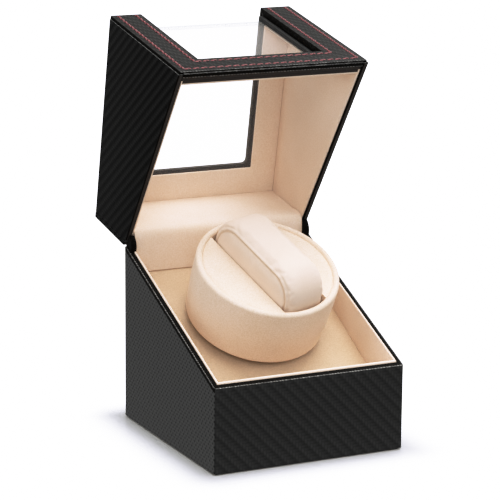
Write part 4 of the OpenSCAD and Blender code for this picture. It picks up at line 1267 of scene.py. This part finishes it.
class WINDER_OT_hinge_flap(bpy.types.Operator):
    """Bridges the inside of the hinge with velvet, and its ends with folded leather"""
    bl_idname = "winder.hinge_flap"
    bl_label = "Hinge flap"

    def execute(self, context):
        sizes = context.scene.winder_hinge
        base_low, base_high = corners(front_face("lining_back"))
        lid_low, lid_high = corners(front_face("lid_lining_back", LID_OPEN))
        base_y, lid_y = base_low.y - sizes.clearance, lid_low.y - sizes.clearance
        deck_z = DRUM_FOOT.z + (base_low.y - DRUM_FOOT.y) * math.tan(DECK_TILT)
        foot = Vector((0, base_y, deck_z + sizes.clearance))
        start = Vector((0, base_y, base_high.z))
        end = LID_OPEN @ Vector((0, lid_y, lid_low.z + sizes.landing))
        tip = LID_OPEN @ Vector((0, lid_y, lid_low.z + sizes.landing + sizes.lap))
        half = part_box("lid_lining_right")[0].x - sizes.side_gap
        self.cloth(sizes, self.route(sizes, foot, start, end, tip), half, start, end)
        self.gussets(sizes, half, base_low.y, start, end)
        return {"FINISHED"}

    @staticmethod
    def route(sizes, foot, start, end, tip):
        """The cloth's line: up the back lining, curved over the gap, and on along the lid's lining."""
        onward = (tip - end).normalized()
        line = [foot.lerp(start, i / 5) for i in range(5)]
        line += [curve_point(start, start + UP * sizes.bend_low, end - onward * sizes.bend_high, end, i / 18)
                 for i in range(19)]
        return line + [end.lerp(tip, i / 4) for i in range(1, 5)]

    def cloth(self, sizes, line, half, start, end):
        """The strip along a line, as wide as twice half. It bends between start and end."""
        flap = grid("hinge_flap_cloth", 60, len(line) - 1)
        for vertex in flap.data.vertices:
            place = line[round((vertex.co.y + 1) / 2 * (len(line) - 1))]
            vertex.co = (vertex.co.x * half, place.y, place.z)
        modifier(flap, "SOLIDIFY", thickness=sizes.thickness, offset=0.0)
        self.bend(flap, cream("lining"), "cream_velvet", start, end)
        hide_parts("hinge_flap")
        flat_length = sum((b - a).length for a, b in zip(line, line[1:]))

    def gussets(self, sizes, half, lining_y, start, end):
        """At each end of the hinge, a wedge of folded leather between the two rims."""
        inner, outer = half + sizes.gusset_gap, HALF_WIDTH - sizes.gusset_inset
        slope = math.atan2(-RIM_UP.y, RIM_UP.z)
        reach = (HINGE.y - lining_y + sizes.gusset_cover) / math.cos(slope)
        fan = grid("hinge_gusset", 8, 12)
        for vertex in fan.data.vertices:
            radius = sizes.gusset_tip + (reach - sizes.gusset_tip) * (1 - vertex.co.x) / 2
            turn = slope - OPEN_ANGLE * (vertex.co.y + 1) / 2
            vertex.co = HINGE - radius * Vector((0, math.cos(turn), math.sin(turn)))
        modifier(fan, "SOLIDIFY", thickness=outer - inner, offset=0.0)
        for side, name in ((-1, "hinge_gusset_left"), (1, "hinge_gusset_right")):
            wedge = new_piece(name, fan.data.copy())
            into_place(wedge, Matrix.Translation(RIGHT * (side * (inner + outer) / 2)))
            self.bend(wedge, leather("rim"), "black_leather", start, end)
        bpy.data.objects.remove(fan)

    @staticmethod
    def bend(piece, material, slot, start, end):
        """Shades a piece smooth, gives it its material and a weave map, and bakes its place into its mesh. start
        and end are not used.
        """
        smooth(piece, 60)
        piece.data.materials.append(material)
        weave_map(piece)
        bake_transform(piece)


class WINDER_OT_works(bpy.types.Operator):
    """Finishes the boards, the drive and the fittings"""
    bl_idname = "winder.works"
    bl_label = "Works and fittings"

    def execute(self, context):
        finishes = {
            "steel": made("plated_steel", plain, (0.36, 0.36, 0.37), 0.38, 1.0, 0.3, 1 * MM),
            "brass": made("turned_brass", plain, (0.72, 0.53, 0.24), 0.3, 1.0, 0.2, 1 * MM),
            "black_plastic": made("black_plastic", plain, (0.012, 0.012, 0.013), 0.45),
            "white_plastic": made("white_plastic", plain, (0.78, 0.76, 0.69), 0.4),
            "board": made("fibreboard", plain, (0.36, 0.25, 0.15), 0.85, 0.0, 0.6, 0.6 * MM),
            "felt": made("black_felt", plain, (0.018, 0.018, 0.02), 0.95, 0.0, 0.8, 0.5 * MM),
            "circuit_board": made("circuit_board", plain, (0.02, 0.16, 0.06), 0.35),
            "lead_red": made("red_insulation", plain, (0.45, 0.02, 0.02), 0.4),
            "cream_velvet": cream("lining"),
        }
        for part in frame["record"]["subparts"]:
            finish = finishes.get(part["material_slot"])
            if finish and not frame["nodes"][part["node"]].hide_render:
                repaint(part["node"], finish)
        return {"FINISHED"}


class WINDER_OT_stage(bpy.types.Operator):
    """Sets the floor, the soft lights and the camera"""
    bl_idname = "winder.stage"
    bl_label = "Stage"

    def execute(self, context):
        sizes = context.scene.winder_stage
        self.floor(sizes)
        self.world(context.scene, sizes)
        self.lights()
        self.camera(context.scene, sizes)
        self.contrast(context.scene.view_settings, sizes)
        return {"FINISHED"}

    @staticmethod
    def floor(sizes):
        """A disc of floor, with its painted shadow, that reaches past where the shadow has faded."""
        nothing_selected()
        radius = (HALF_WIDTH + sizes.painted_shadow_reach) * 2
        bpy.ops.mesh.primitive_circle_add(vertices=96, radius=radius, fill_type="NGON")
        floor = named(bpy.context.object, "stage_floor")
        floor.visible_glossy = False
        floor.data.materials.append(made("stage_paper", floor_with_painted_shadow, tuple(sizes.floor_shadow_colour), sizes.painted_shadow_reach))

    @staticmethod
    def world(scene, sizes):
        """Even light from all round, seen by the camera as plain white."""
        scene.world = scene.world or bpy.data.worlds.new("stage_world")
        scene.world.use_nodes = True
        tree = scene.world.node_tree
        sky = tree.nodes["Background"]
        sky.inputs["Color"].default_value = (1.0, 1.0, 1.0, 1.0)
        ray = tree.nodes.new("ShaderNodeLightPath")
        level = tree.nodes.new("ShaderNodeMapRange")
        level.inputs["To Min"].default_value = sizes.ambient
        level.inputs["To Max"].default_value = sizes.white
        tree.links.new(ray.outputs["Is Camera Ray"], level.inputs["Value"])
        tree.links.new(level.outputs["Result"], sky.inputs["Strength"])

    @staticmethod
    def lights():
        """Square area lamps, all turned to one point."""
        for name, place, power, size in LIGHTS:
            bpy.ops.object.light_add(type="AREA", location=place)
            lamp = bpy.context.object
            lamp.name = name
            lamp.data.size = size
            lamp.data.energy = power
            aim = LIGHTS_AIM - Vector(place)
            lamp.rotation_euler = aim.to_track_quat("-Z", "Y").to_euler()

    @staticmethod
    def camera(scene, sizes):
        """A camera at a distance from its target, in the direction of two angles."""
        data = bpy.data.cameras.new("camera")
        camera = bpy.data.objects.new("camera", data)
        scene.collection.objects.link(camera)
        level = math.cos(sizes.elevation)
        back = Vector((-math.sin(sizes.azimuth) * level, -math.cos(sizes.azimuth) * level,
                       math.sin(sizes.elevation)))
        turn = (-back).to_track_quat("-Z", "Y").to_matrix().to_4x4()
        place = Matrix.Translation(Vector(sizes.target) + back * sizes.distance)
        camera.matrix_world = place @ turn @ Matrix.Rotation(sizes.roll, 4, "Z")
        data.lens = sizes.lens
        data.clip_end = 50.0
        scene.camera = camera

    @staticmethod
    def contrast(view, sizes):
        """Deeper shade, and a soft roll-off towards white."""
        view.view_transform = "Standard"
        view.use_curve_mapping = True
        mapping = view.curve_mapping
        mapping.white_level = (sizes.white, sizes.white, sizes.white)
        blue, all_colours = 2, 3
        for curve, shares in ((all_colours, CONTRAST), (blue, BLUE_CONTRAST)):
            for share_in, share_out in shares:
                mapping.curves[curve].points.new(share_in, share_out)
        mapping.update()


class WINDER_PT_panel(bpy.types.Panel):
    """Sizes, colours and steps of the watch winder box"""
    bl_idname = "WINDER_PT_panel"
    bl_label = "Watch winder box"
    bl_space_type = "VIEW_3D"
    bl_region_type = "UI"
    bl_category = "Winder"

    def draw(self, context):
        for group, kind in GROUPS.items():
            box = self.layout.box()
            box.label(text=kind.__doc__)
            for prop in kind.__annotations__:
                box.prop(getattr(context.scene, group), prop)
        for operator in OPERATORS:
            self.layout.operator(operator.bl_idname)


OPERATORS = (WINDER_OT_base, WINDER_OT_linings, WINDER_OT_lid, WINDER_OT_window, WINDER_OT_drum,
             WINDER_OT_cushion, WINDER_OT_stitching, WINDER_OT_hinge_flap, WINDER_OT_works, WINDER_OT_stage)


def register():
    for kind in GROUPS.values():
        bpy.utils.register_class(kind)
    for operator in OPERATORS:
        bpy.utils.register_class(operator)
    bpy.utils.register_class(WINDER_PT_panel)
    for group, kind in GROUPS.items():
        setattr(bpy.types.Scene, group, PointerProperty(type=kind))


def unregister():
    for group in GROUPS:
        delattr(bpy.types.Scene, group)
    bpy.utils.unregister_class(WINDER_PT_panel)
    for operator in reversed(OPERATORS):
        bpy.utils.unregister_class(operator)
    for kind in reversed(list(GROUPS.values())):
        bpy.utils.unregister_class(kind)


def main():
    """Makes every piece."""
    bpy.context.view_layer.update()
    register()
    for operator in OPERATORS:
        group, name = operator.bl_idname.split(".")
        getattr(getattr(bpy.ops, group), name)()
    nothing_selected()


if __name__ == "__main__":
    main()
